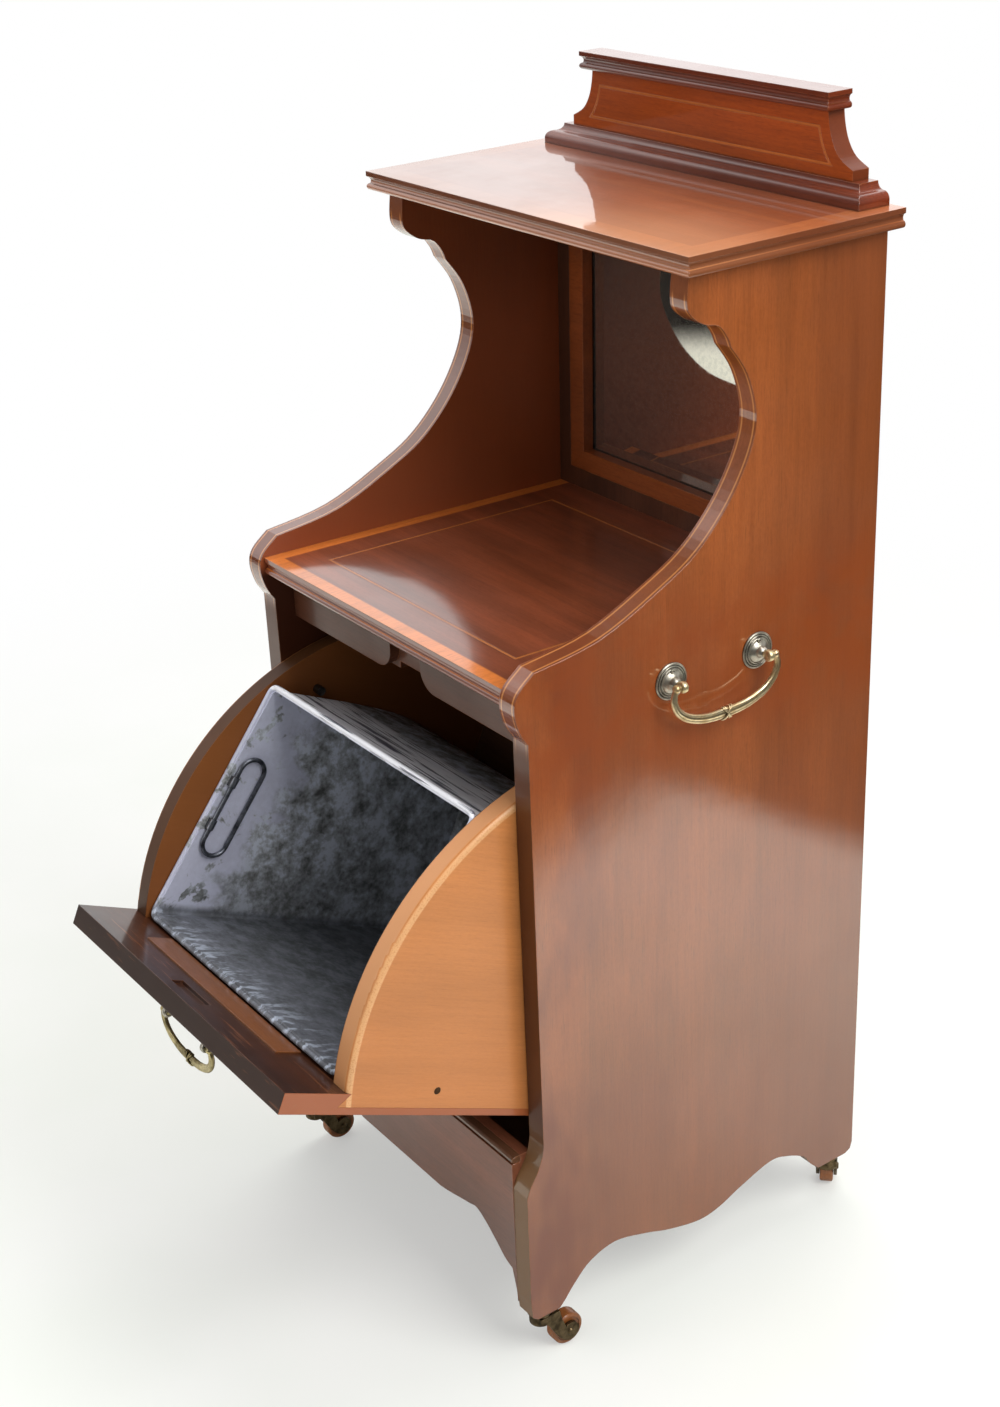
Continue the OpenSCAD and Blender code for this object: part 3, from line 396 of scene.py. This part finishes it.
def gallery_panel_wood():
    """The gallery's panel: orange face, dark shaped ends."""
    g = Graph("gallery_face")
    colour, fibre = figure(g, "x", 0, (0.4, 0, 0.2), GALLERY_PANEL)
    off_face = g.between(g.facing()[1], -0.85, -0.6, 0.0, 0.85)
    colour = g.mix(off_face, colour, srgb(92, 42, 20))
    return polished(g, colour, fibre, 0.05, coat=0.3, grime=0.5)


def banded(name, woods, shift, half_x, depths, band, blur, tint=None, **more):
    """A board with a cross-grained border. woods are the board's and the border's. The border is
    band wide inside half_x and the two depths, and blurred by blur. tint changes the colour."""
    g = Graph(name)
    colour, fibre = figure(g, "x", 0, shift, woods[0])
    cross, _ = figure(g, "y", 0, (0.7, 0.2, 0), woods[1])
    x, y, z = g.split(g.place())
    low_y, high_y = (BACK_Y - depth for depth in depths)
    in_x = g.minus(half_x, g.size(x))
    in_y = g.minus((high_y - low_y) / 2, g.size(g.minus(y, (high_y + low_y) / 2)))
    inside = g.sums("MINIMUM", in_x, in_y)
    up = g.between(g.facing()[2], 0.7, 0.9)
    amount = g.times(g.between(inside, band + blur, band - blur), up)
    colour = g.mix(amount, colour, cross)
    if tint:
        colour = tint(g, colour, x, y, z, up)
    return polished(g, colour, fibre, **more)


def top_painted_light(g, colour, x, y, z, up):
    """The top: paler at its front right, a painted sheen, and darker at its front left, painted
    shade, with a moulding that is dark above its lower bead and on its right end, painted shade,
    whose lower bead is paler, a painted highlight."""
    bead_top = (0.8868, 0.8885)
    right = g.between(x, -0.08, 0.12)
    forward = g.between(y, BACK_Y - 0.06, BACK_Y - TOP_DEPTH, 0.0, 0.45)
    # Painted sheen: paler at the front right
    colour = g.mix(g.times(right, forward), colour, srgb(236, 166, 112))
    forward = g.between(y, BACK_Y - 0.02, BACK_Y - 0.14, 0.1, 0.62)
    # Painted shade: darker at the front left
    colour = g.mix(g.times(g.minus(1.0, right), forward), colour, srgb(104, 66, 50))
    # The moulding: painted shade on its right end and above its lower bead, painted highlight on
    # the bead
    off_side = g.between(g.facing()[0], 0.6, 0.3)
    moulding = g.mix(off_side, srgb(116, 62, 34), srgb(164, 100, 68))
    moulding = g.mix(g.between(z, *bead_top), moulding, srgb(104, 54, 32))
    return g.mix(g.times(g.minus(1.0, up), 0.9), colour, moulding)


# ---------------------------------------------------------------- metals and glass

# Height of the shut liner's rim: at the cabinet's back edge, and its rise with depth
LINER_RIM_Z, LINER_RIM_RISE = 0.4383, 0.2306


def zinc():
    """Weathered sheet: pale bloom near the rim, mottle, darker further in as painted shade, and
    pale streaks outside as painted reflections.
    """
    front_wall, back_wall = (0.305, 0.314), (0.1102, 0.1096)
    g = Graph("mottled_zinc")
    here = g.place()
    blotch = g.noise(here, 52, 6, 0.66, 0.15)
    fine = g.noise(here, 240, 4, 0.65, 0.1)
    drift = g.noise(here, 16, 4, 0.65, 0.6)
    tone = g.sums("MULTIPLY_ADD", blotch, 0.75, g.times(fine, 0.3))
    mottle = [
        (0.36, srgb(84, 84, 82)),
        (0.46, srgb(140, 142, 142)),
        (0.54, srgb(178, 182, 188)),
        (0.62, srgb(216, 222, 234)),
    ]
    colour = g.ramp(tone, mottle)
    _, depth, height = g.shut()
    rim = g.sums("MULTIPLY_ADD", depth, LINER_RIM_RISE, LINER_RIM_Z)
    below = g.minus(rim, height)
    on_front = g.between(depth, *front_wall)
    outside = g.between(depth, *back_wall)

    # Darker deep in the tub and far below the rim: painted shade
    deep = g.sums("MAXIMUM", g.between(depth, 0.24, 0.3), g.between(below, 0.1, 0.2))
    colour = g.mix(g.times(deep, 0.34), colour, srgb(64, 66, 70))

    wander = g.sums("MULTIPLY_ADD", drift, 0.16, g.minus(below, 0.08))
    spots = g.between(g.noise(here, 36, 4, 0.62, 0.3), 0.405, 0.46)
    bloom = g.times(g.between(wander, 0.078, 0.04), spots)
    bloom = g.times(bloom, g.sums("MULTIPLY_ADD", on_front, -0.75, 1.0))
    colour = g.mix(g.times(bloom, 0.85), colour, srgb(214, 216, 236))

    near_rim = g.between(g.sums("ADD", below, g.times(drift, 0.03)), 0.06, 0.0)
    feather = g.between(g.noise(g.place((1, 0.3, 0.3)), 150, 3, 0.65), 0.5, 0.62)
    front = g.mix(g.times(near_rim, feather), srgb(66, 68, 73), srgb(196, 206, 222))
    colour = g.mix(g.times(on_front, 0.72), colour, front)

    # Pale streaks on the outside of the back wall: painted reflections
    reflection_streak = g.between(g.noise(g.place((0.05, 1, 1)), 230, 3, 0.6), 0.41, 0.48)
    reflection_streak = g.mix(reflection_streak, srgb(104, 104, 114), srgb(250, 250, 255))
    colour = g.mix(g.times(outside, 0.95), colour, reflection_streak)
    soft = g.rounded(0.5 * MM)
    return g.finish(
        {
            "Base Color": colour,
            "Metallic": g.between(outside, 0.0, 1.0, 0.22, 0.0),
            "Roughness": g.between(tone, 0.4, 0.66, 0.55, 0.34),
            "Normal": g.bump(fine, 0.0001, soft),
        }
    )


def metal(name, dark, light, rough, hollow=None, tip=None):
    """Handled metal, softly marked. hollow is the tarnish in its hollows, and tip the colour of
    what stands further out from the cabinet's sides than the rosettes' plates."""
    g = Graph(name)
    here = g.place()
    marks = g.noise(here, 120.0, 4, 0.6)
    colour = g.ramp(marks, [(0.34, dark), (0.62, light)])
    soft = g.rounded(0.35 * MM)
    if hollow:
        colour = g.mix(g.between(g.hidden(3 * MM), 0.9, 0.45), colour, hollow)
    if tip:
        out_x = g.size(g.split(here)[0])
        past_plate = g.between(out_x, SIDE_X + 9.2 * MM, SIDE_X + 9.8 * MM)
        colour = g.mix(past_plate, colour, tip)
    return g.finish(
        {
            "Base Color": colour,
            "Metallic": 1.0,
            "Roughness": g.between(marks, 0.3, 0.7, rough + 0.1, rough - 0.05),
            "Normal": g.bump(marks, 0.00004, soft),
        }
    )


def silvered():
    g = Graph("mirror_glass")
    specks = g.noise(g.place(), 260, 3, 0.6)
    tint = g.ramp(specks, [(0.3, srgb(206, 202, 192)), (0.6, srgb(228, 222, 210))])
    rough = g.between(specks, 0.35, 0.75, 0.02, 0.05)
    return g.finish({"Base Color": tint, "Metallic": 0.95, "Roughness": rough})


# ---------------------------------------------------------------- materials on the CAD nodes

side = side_wood()
top_wood = banded(
    "top_mahogany",
    (TOP_MAHOGANY, TOP_CROSSBAND),
    shift=(0.2, 0.5, 0),
    half_x=TOP_HALF_W,
    depths=(TOP_DEPTH, -TOP_OVERHANG),
    band=22 * MM,
    blur=0.4 * MM,
    tint=top_painted_light,
    coat_rough=0.045,
    grime=0.7,
    rub=0.3,
    sheen=0.75,
    rough=0.38,
)
shelf_wood = banded(
    "shelf_mahogany",
    (RED_MAHOGANY, SHELF_CROSSBAND),
    shift=(0.6, 0.1, 0),
    half_x=INNER_X,
    depths=(SHELF_DEPTH, MIRROR_DEPTH - 0.02),
    band=12.5 * MM,
    blur=1.2 * MM,
    coat_rough=0.11,
)
gallery_face = gallery_panel_wood()
gallery_wood = board(
    "gallery_mahogany", GALLERY_MAHOGANY, shift=(0.4, 0, 0.2), coat_rough=0.05, grime=0.8
)
dark_wood = board(
    "dark_mahogany", DARK_MAHOGANY, shift=(0.9, 0.3, 0), coat_rough=0.14, coat=0.15
)
dark_stile = board(
    "dark_mahogany_upright", DARK_MAHOGANY, "z", shift=(0.9, 0.3, 0), coat_rough=0.1, coat=0.6
)
apron_wood = board("apron_mahogany", APRON_MAHOGANY, shift=(0.2, 0.9, 0.3), coat_rough=0.12)
door_finish = door_wood()
box_right = quadrant_wood("box_mahogany_right", srgb(204, 144, 96), 0.3)
# The left box side is a shaded copy of the right: its dark edge and thin coat are painted shade
box_left_shaded = quadrant_wood("box_mahogany_left_shaded", srgb(50, 28, 14), 0.06)
moulding_wood = board("moulding_wood", tones(132, 66, 28), coat_rough=0.08, coat=0.6)
string_wood = board("string_wood", tones(184, 110, 50, 0.08), coat_rough=0.08)
gallery_line = board(
    "gallery_string_wood", tones(196, 106, 40, 0.08), coat_rough=0.08, coat=0.3, rub=0.0
)
bead_wood = board("bead_wood", tones(98, 64, 44), coat_rough=0.12)
pine = board("pine", PINE, coat_rough=0.4, rough=0.7, coat=0.1)
strip_wood = board(
    "strip_wood", tones(126, 76, 42), turn=-OPEN_ANGLE, coat_rough=0.15, coat=0.6
)
wheel_wood = board("castor_wheel", WHEEL_WOOD, "z", coat_rough=0.25, rough=0.5, coat=0.5)

zinc_sheet = zinc()
zinc_wire = metal("zinc_wire", srgb(70, 72, 78), srgb(138, 142, 150), 0.42, srgb(48, 48, 50))
brass = metal("brass", srgb(222, 192, 142), srgb(252, 232, 190), 0.34, srgb(132, 98, 54))
side_brass = metal(
    "darkened_brass_gilt_posts",
    srgb(170, 164, 150),
    srgb(234, 228, 212),
    0.38,
    hollow=srgb(76, 68, 58),
    tip=srgb(244, 226, 180),
)
old_brass = metal(
    "darkened_brass", srgb(132, 126, 116), srgb(206, 198, 184), 0.34, srgb(66, 60, 52)
)
door_brass = metal(
    "dull_brass", srgb(118, 104, 70), srgb(188, 172, 128), 0.36, srgb(60, 48, 28)
)
steel = metal("steel", srgb(60, 58, 54), srgb(118, 116, 112), 0.4)
screw_steel = metal("browned_steel", srgb(58, 42, 30), srgb(94, 68, 48), 0.5)
castor_brass = metal(
    "castor_metal", srgb(72, 60, 42), srgb(124, 106, 78), 0.42, srgb(36, 29, 21)
)
mirror = silvered()

FINISHES = {
    "side_panel_right": side,
    "side_panel_left": side,
    "top_board": top_wood,
    "shelf": shelf_wood,
    "gallery_base": gallery_wood,
    "gallery_panel": gallery_face,
    "gallery_cap": gallery_wood,
    "gallery_string": gallery_line,
    "shelf_string": string_wood,
    "door_string": string_wood,
    "shelf_rail": dark_wood,
    "mirror_frame": dark_stile,
    "mirror_moulding": moulding_wood,
    "mirror_glass": mirror,
    "back_board_upper": pine,
    "back_board_lower": pine,
    "cabinet_floor": pine,
    "glue_blocks": pine,
    "stop_batten": pine,
    "box_floor": pine,
    "front_apron": apron_wood,
    "apron_bead": bead_wood,
    "door_panel": door_finish,
    "door_strip": strip_wood,
    "quadrant_right": box_right,
    "quadrant_left": box_left_shaded,
    "liner_tub": zinc_sheet,
    "liner_rim": zinc_sheet,
    "liner_clips": zinc_wire,
    "liner_handle_right": zinc_wire,
    "liner_handle_left": zinc_wire,
    "pivot_pins": steel,
    "liner_pegs": steel,
    "quadrant_screws": screw_steel,
    "door_bail": brass,
    "side_bail_right": brass,
    "side_bail_left": brass,
    "side_rosettes_right": side_brass,
    "side_rosettes_left": side_brass,
    "door_rosettes": old_brass,
    "castor_plates": castor_brass,
}
for name, node in cad.items():
    if name.startswith("castor_wheel"):
        finish = wheel_wood
    elif name.startswith("castor_"):
        finish = castor_brass
    else:
        finish = FINISHES[name]
    node.data.materials.clear()
    node.data.materials.append(finish)


# ---------------------------------------------------------------- brass handles in full detail

# Half of a bail's middle line, in shares of its half width and of its drop
BAIL_LINE = [
    (0, -1), (0.25, -0.99), (0.5, -0.94), (0.77, -0.8), (0.95, -0.6),
    (1.035, -0.38), (1.05, -0.23), (1.03, -0.1), (1, 0),
]
BAIL_R, BAIL_MID_R = 2.2 * MM, 4.4 * MM
# Tilts in degrees and radius in mm of the ribbon's strands, which cross at a bail's middle
RIBBON_TILTS, RIBBON_R = (-42, -26, 26, 42), 0.85
# Height of a post's eye above the wood, half of the eye's width, and the play beside it
POST_H, EYE_HALF, PLAY = 14 * MM, 2.5 * MM, 0.3 * MM


def circle(steps):
    """Angles of the corners round a circle."""
    return [math.tau * k / steps for k in range(steps)]


def arc(cx, cy, r, start, end, steps=8):
    """Points of an arc in a profile, angles in degrees."""
    angles = [math.radians(start + (end - start) * k / steps) for k in range(steps + 1)]
    return [(cx + r * math.cos(a), cy + r * math.sin(a)) for a in angles]


def in_mm(profile):
    return [(r * MM, h * MM) for r, h in profile]


def smooth_line(points, steps):
    """Catmull-Rom curve through 2-D points."""
    points = [Vector(p) for p in points]
    last = len(points) - 1
    made = []
    for i in range(last):
        a, b, c, d = (points[min(max(i + k, 0), last)] for k in (-1, 0, 1, 2))
        square = 2 * a - 5 * b + 4 * c - d
        cube = 3 * b - a - 3 * c + d
        for t in (k / steps for k in range(steps)):
            made.append(0.5 * (2 * b + (c - a) * t + square * t**2 + cube * t**3))
    return made + [points[last]]


def loft(bm, rings, close_run=False):
    """Skins a run of rings of points, all of one length. The run is closed, or its ends are."""
    rows = [[bm.verts.new(p) for p in ring] for ring in rings]
    following = rows[1:] + rows[:1] if close_run else rows[1:]
    for one, two in zip(rows, following):
        for i in range(len(one)):
            j = (i + 1) % len(one)
            bm.faces.new((one[i], one[j], two[j], two[i]))
    if not close_run:
        bm.faces.new(list(reversed(rows[0])))
        bm.faces.new(rows[-1])


def turned(bm, profile, place, steps=48, close_run=False):
    """Lathes a profile of (radius, height) about place's z axis."""
    rings = []
    for radius, height in profile:
        ring = [(radius * math.cos(a), radius * math.sin(a), height) for a in circle(steps)]
        rings.append([place @ Vector(p) for p in ring])
    loft(bm, rings, close_run)


def reeded(width, thick, depth, steps=30):
    """Section of a bail: an oval with three reeds on each face, depth deep between them."""
    section = []
    for a in circle(steps):
        x = math.cos(a)
        crest = abs(math.cos(1.5 * math.pi * x)) if abs(x) < 0.98 else 0
        flat = math.copysign(abs(math.sin(a)) ** 0.7, math.sin(a))
        section.append((width * x, thick * flat * (1 - depth + depth * crest)))
    return section


def crescent(bm, arm, drop, place):
    """The bail's reeded bow, thickest at its middle."""
    half = smooth_line([(x * arm, z * drop) for x, z in BAIL_LINE], 6)
    line = [Vector((-p.x, p.y)) for p in reversed(half[1:])] + half
    rings = []
    for i, here in enumerate(line):
        run = (line[min(i + 1, len(line) - 1)] - line[max(i - 1, 0)]).normalized()
        across = Vector((-run.y, run.x))
        share = abs(i - len(half) + 1) / (len(half) - 1)
        width = BAIL_MID_R + (BAIL_R - BAIL_MID_R) * share
        depth = 0.3 * min(1, max(0, (0.92 - share) / 0.2))
        section = reeded(width, BAIL_R * 0.94, depth)
        ring = [(here.x + across.x * u, v, here.y + across.y * u) for u, v in section]
        rings.append([place @ Vector(p) for p in ring])
    loft(bm, rings)


def ribbon(bm, tilt, drop, place):
    """One strand of the ribbon round the bail's middle, tilted by degrees."""
    lean = math.tan(math.radians(tilt))
    across = Vector((1, 0, 0))
    rings = []
    for a in circle(36):
        u = (BAIL_MID_R + 0.5 * MM) * math.cos(a)
        v = (BAIL_R + 0.35 * MM) * math.sin(a)
        core = Vector((u * lean, v, -drop + u))
        out = Vector((0, math.sin(a), math.cos(a)))
        spokes = [out * math.cos(b) + across * math.sin(b) for b in circle(8)]
        rings.append([place @ (core + spoke * RIBBON_R * MM) for spoke in spokes])
    loft(bm, rings, close_run=True)


def bail(bm, gap, drop, place):
    """Reeded crescent with a crossed ribbon, knobs at its ends and pins through the eyes."""
    knob = BAIL_R + 1 * MM
    arm = gap / 2 + EYE_HALF + PLAY + knob
    crescent(bm, arm, drop, place)
    for tilt in RIBBON_TILTS:
        ribbon(bm, tilt, drop, place)
    pin = in_mm([(0.1, -2.82), (1.9, -2.8), (2.2, -2.5), (2.2, 2.6), (2.9, 2.9)])
    pin += arc(0, arm - gap / 2, knob, -48, 88, 10)
    for end in (-1, 1):
        outwards = Matrix.Rotation(math.radians(90 * end), 4, "Y")
        axis = place @ Matrix.Translation((end * gap / 2, 0, 0)) @ outwards
        turned(bm, pin, axis, 28)


def rosette(bm, place):
    """Domed back plate with a raised rim, two fine rings, a ball, a sunk screw, a post, an eye."""
    plate = [(14.8, 0), (14.8, 0.6)] + arc(13.9, 0.7, 0.9, 0, 170, 8)
    plate += [(12.9, 0.75), (12.6, 0.75)] + arc(11.9, 1.1, 0.7, -10, 160, 6)
    plate += [(11.0, 1.2), (10.6, 1.5)] + arc(9.9, 1.9, 0.7, -10, 150, 6)
    plate += [(9.0, 2.3), (8.0, 3.0), (7.0, 3.7), (6.0, 4.3), (5.4, 4.6), (5.1, 4.8)]
    plate += arc(0, 5.0, 5.0, 2, 88, 10)
    turned(bm, in_mm(plate), place)
    post = [(2.5, 3), (2.5, 9.6), (3.1, 10.0), (3.1, 10.6), (2.4, 11.0), (2.4, 12.5)]
    turned(bm, in_mm(post), place, 24)
    eye = [
        (2.27, -2.5), (3.6, -2.5), (4.2, -2.1), (4.6, -1.2),
        (4.6, 1.2), (4.2, 2.1), (3.6, 2.5), (2.27, 2.5),
    ]
    sideways = Matrix.Rotation(math.radians(90), 4, "Y")
    at_eye = place @ Matrix.Translation((0, 0, POST_H)) @ sideways
    turned(bm, in_mm(eye), at_eye, 32, close_run=True)
    head = [(2.1, 2.2), (2.1, 3.3), (1.8, 3.55), (0.9, 3.75), (0.85, 3.2), (0.05, 3.15)]
    turned(bm, in_mm(head), place @ Matrix.Translation((0, 8.6 * MM, 0)), 20)


def piece(name, bm, finish, body, node):
    """Makes a piece of the built mesh, in place of a CAD node."""
    bmesh.ops.recalc_face_normals(bm, faces=bm.faces)
    mesh = bpy.data.meshes.new(name)
    bm.to_mesh(mesh)
    bm.free()
    mesh.polygons.foreach_set("use_smooth", [True] * len(mesh.polygons))
    made = bpy.data.objects.new(name, mesh)
    bpy.context.scene.collection.objects.link(made)
    mesh.materials.append(finish)
    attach(made, body)
    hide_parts(node)


def handle(name, gap, drop, bail_at, face, finishes, bail_body, plate_body, plates):
    """A bail and its two rosettes. bail_at is the place of its axis, face that of the plates,
    and plates their CAD node. The bail's node is named as its body is."""
    bail_finish, plate_finish = finishes
    bm = bmesh.new()
    bail(bm, gap, drop, bail_at)
    piece(name + "_reeded_bail", bm, bail_finish, bail_body, bail_body)
    bm = bmesh.new()
    for end in (-1, 1):
        rosette(bm, face @ Matrix.Translation((end * gap / 2, 0, 0)))
    piece(name + "_turned_rosettes", bm, plate_finish, plate_body, plates)


QUARTER = math.radians(90)
# Middle of a side's two rosettes, and height of the shut door's two
SIDE_HANDLE_Y, SIDE_HANDLE_Z, DOOR_HANDLE_Z = BACK_Y - 0.166, 0.5765, 0.548

for hand, sign in (("right", 1), ("left", -1)):
    on_side = Matrix.Translation((sign * SIDE_X, SIDE_HANDLE_Y, SIDE_HANDLE_Z))
    off_side = Matrix.Translation((sign * (SIDE_X + POST_H), SIDE_HANDLE_Y, SIDE_HANDLE_Z))
    outwards = Matrix.Rotation(QUARTER * sign, 4, "Z") @ Matrix.Rotation(QUARTER, 4, "X")
    handle(
        hand,
        gap=85.4 * MM,
        drop=34 * MM,
        bail_at=off_side @ Matrix.Rotation(QUARTER, 4, "Z"),
        face=on_side @ outwards,
        finishes=(brass, side_brass),
        bail_body="side_bail_" + hand,
        plate_body="cabinet",
        plates="side_rosettes_" + hand,
    )
tip = (
    Matrix.Translation(PIVOT)
    @ Matrix.Rotation(OPEN_ANGLE, 4, "X")
    @ Matrix.Translation(-PIVOT)
)
shut_face = Matrix.Translation((0, BACK_Y - DOOR_DEPTH, DOOR_HANDLE_Z))
door_face = tip @ shut_face @ Matrix.Rotation(QUARTER, 4, "X")
handle(
    "door",
    gap=62 * MM,
    drop=27 * MM,
    bail_at=Matrix.Translation(door_face @ Vector((0, 0, POST_H))),
    face=door_face,
    finishes=(door_brass, old_brass),
    bail_body="door_bail",
    plate_body="coal_box",
    plates="door_rosettes",
)


# ---------------------------------------------------------------- stage

FLOOR_REACH = 14


def set_floor():
    """Pale paper that turns white to the camera far away. In reflections it is brighter, and
    ends to the object's right and behind it."""
    g = Graph("floor")
    x, y, _ = g.split(g.place())
    ray = g.nodes.new("ShaderNodeLightPath").outputs
    glossy = ray["Is Glossy Ray"]
    far = g.node("VectorMath", {0: g.place()}, "Value", operation="LENGTH")
    right_edge = g.between(g.sums("MULTIPLY_ADD", y, -0.29, x), 0.8, 0.64)
    back_edge = g.between(g.sums("MULTIPLY_ADD", x, 0.256, y), 0.94, 0.84)
    paper = g.times(right_edge, back_edge, g.between(far, 2.9, 2.6))
    seen = g.sums("MAXIMUM", paper, g.minus(1.0, glossy))
    cloud = g.between(g.noise(g.place(), 3, 3), 0.3, 0.7)
    tone = g.mix(cloud, srgb(236, 240, 230), srgb(243, 244, 238))
    colour = g.mix(seen, srgb(30, 26, 24), tone)
    reflected = g.between(far, 0.2, 1.0, 0.66, 1.3)
    level = g.between(g.times(glossy, paper), 0.0, 1.0, 1.0, reflected)
    bright = g.node("VectorMath", {0: colour, "Scale": level}, operation="SCALE")
    lit = g.node("BsdfDiffuse", {"Color": bright})
    white = g.node("Emission", {"Color": (1, 1, 1, 1), "Strength": 1.0})
    fade = g.times(ray["Is Camera Ray"], g.between(far, 0.6, 1.8, 0.38, 1.0))
    g.node("OutputMaterial", {"Surface": g.node("MixShader", {0: fade, 1: lit, 2: white})})

    mesh = bpy.data.meshes.new("floor")
    corners = [(-1, -1), (1, -1), (1, 1), (-1, 1)]
    corners = [(x * FLOOR_REACH, y * FLOOR_REACH, 0) for x, y in corners]
    mesh.from_pydata(corners, [], [(0, 1, 2, 3)])
    floor = bpy.data.objects.new("floor", mesh)
    bpy.context.scene.collection.objects.link(floor)
    mesh.materials.append(g.owner)


def set_world():
    """A world that is white to the camera. Reflections find a low white backdrop behind the
    object, and little light elsewhere."""
    g = Graph("studio", "worlds")
    bpy.context.scene.world = g.owner
    ray = g.nodes.new("ShaderNodeLightPath").outputs
    camera, glossy = ray["Is Camera Ray"], ray["Is Glossy Ray"]
    towards = g.split(g.node("TexCoord", out="Generated"))
    behind = g.sums("MULTIPLY_ADD", towards[0], -0.82, g.times(towards[1], 0.57))
    backdrop = g.times(g.between(behind, 0.2, 0.4), g.between(towards[2], 0.72, 0.58))
    reflected = g.node("MapRange", {"Value": backdrop, "To Min": 0.05, "To Max": 1.4})
    strength = g.sums("ADD", g.times(glossy, reflected), camera)
    plain = g.minus(1.0, g.sums("MAXIMUM", glossy, camera))
    strength = g.sums("MULTIPLY_ADD", plain, 0.55, strength)
    sky = g.node("Background", {"Color": (1, 1, 1, 1), "Strength": strength})
    g.node("OutputWorld", {"Surface": sky})


def lamp(name, at, towards, size, watts):
    data = bpy.data.lights.new(name, "AREA")
    data.shape = "RECTANGLE"
    data.size = data.size_y = size
    data.energy = watts
    item = bpy.data.objects.new(name, data)
    aim = (Vector(towards) - Vector(at)).to_track_quat("-Z", "Y")
    item.matrix_world = Matrix.Translation(at) @ aim.to_matrix().to_4x4()
    bpy.context.scene.collection.objects.link(item)


def set_camera():
    data = bpy.data.cameras.new("camera")
    data.sensor_fit = "HORIZONTAL"
    data.sensor_width = 36
    data.lens = 75.94
    item = bpy.data.objects.new("camera", data)
    right = Vector((0.58593913, 0.80935523, -0.04024238))
    down = Vector((0.33073114, -0.28418089, -0.89992118))
    ahead = Vector((-0.73979203, 0.51398962, -0.43419168))
    turn = Matrix((right, -down, -ahead)).transposed().to_4x4()
    item.matrix_world = Matrix.Translation((1.27528, -0.84559, 1.24553)) @ turn
    bpy.context.scene.collection.objects.link(item)
    bpy.context.scene.camera = item


set_floor()
set_world()
set_camera()
lamp("key", (2.0, 0.5, 2.3), (0, 0, 0.5), 1.6, 56)
lamp("top", (-0.4, 0.7, 2.9), (0, 0, 0.4), 1.8, 38)
lamp("front", (-0.6, -2.6, 1.5), (0, 0, 0.5), 1.4, 16)
bpy.context.scene.view_settings.view_transform = "Standard"
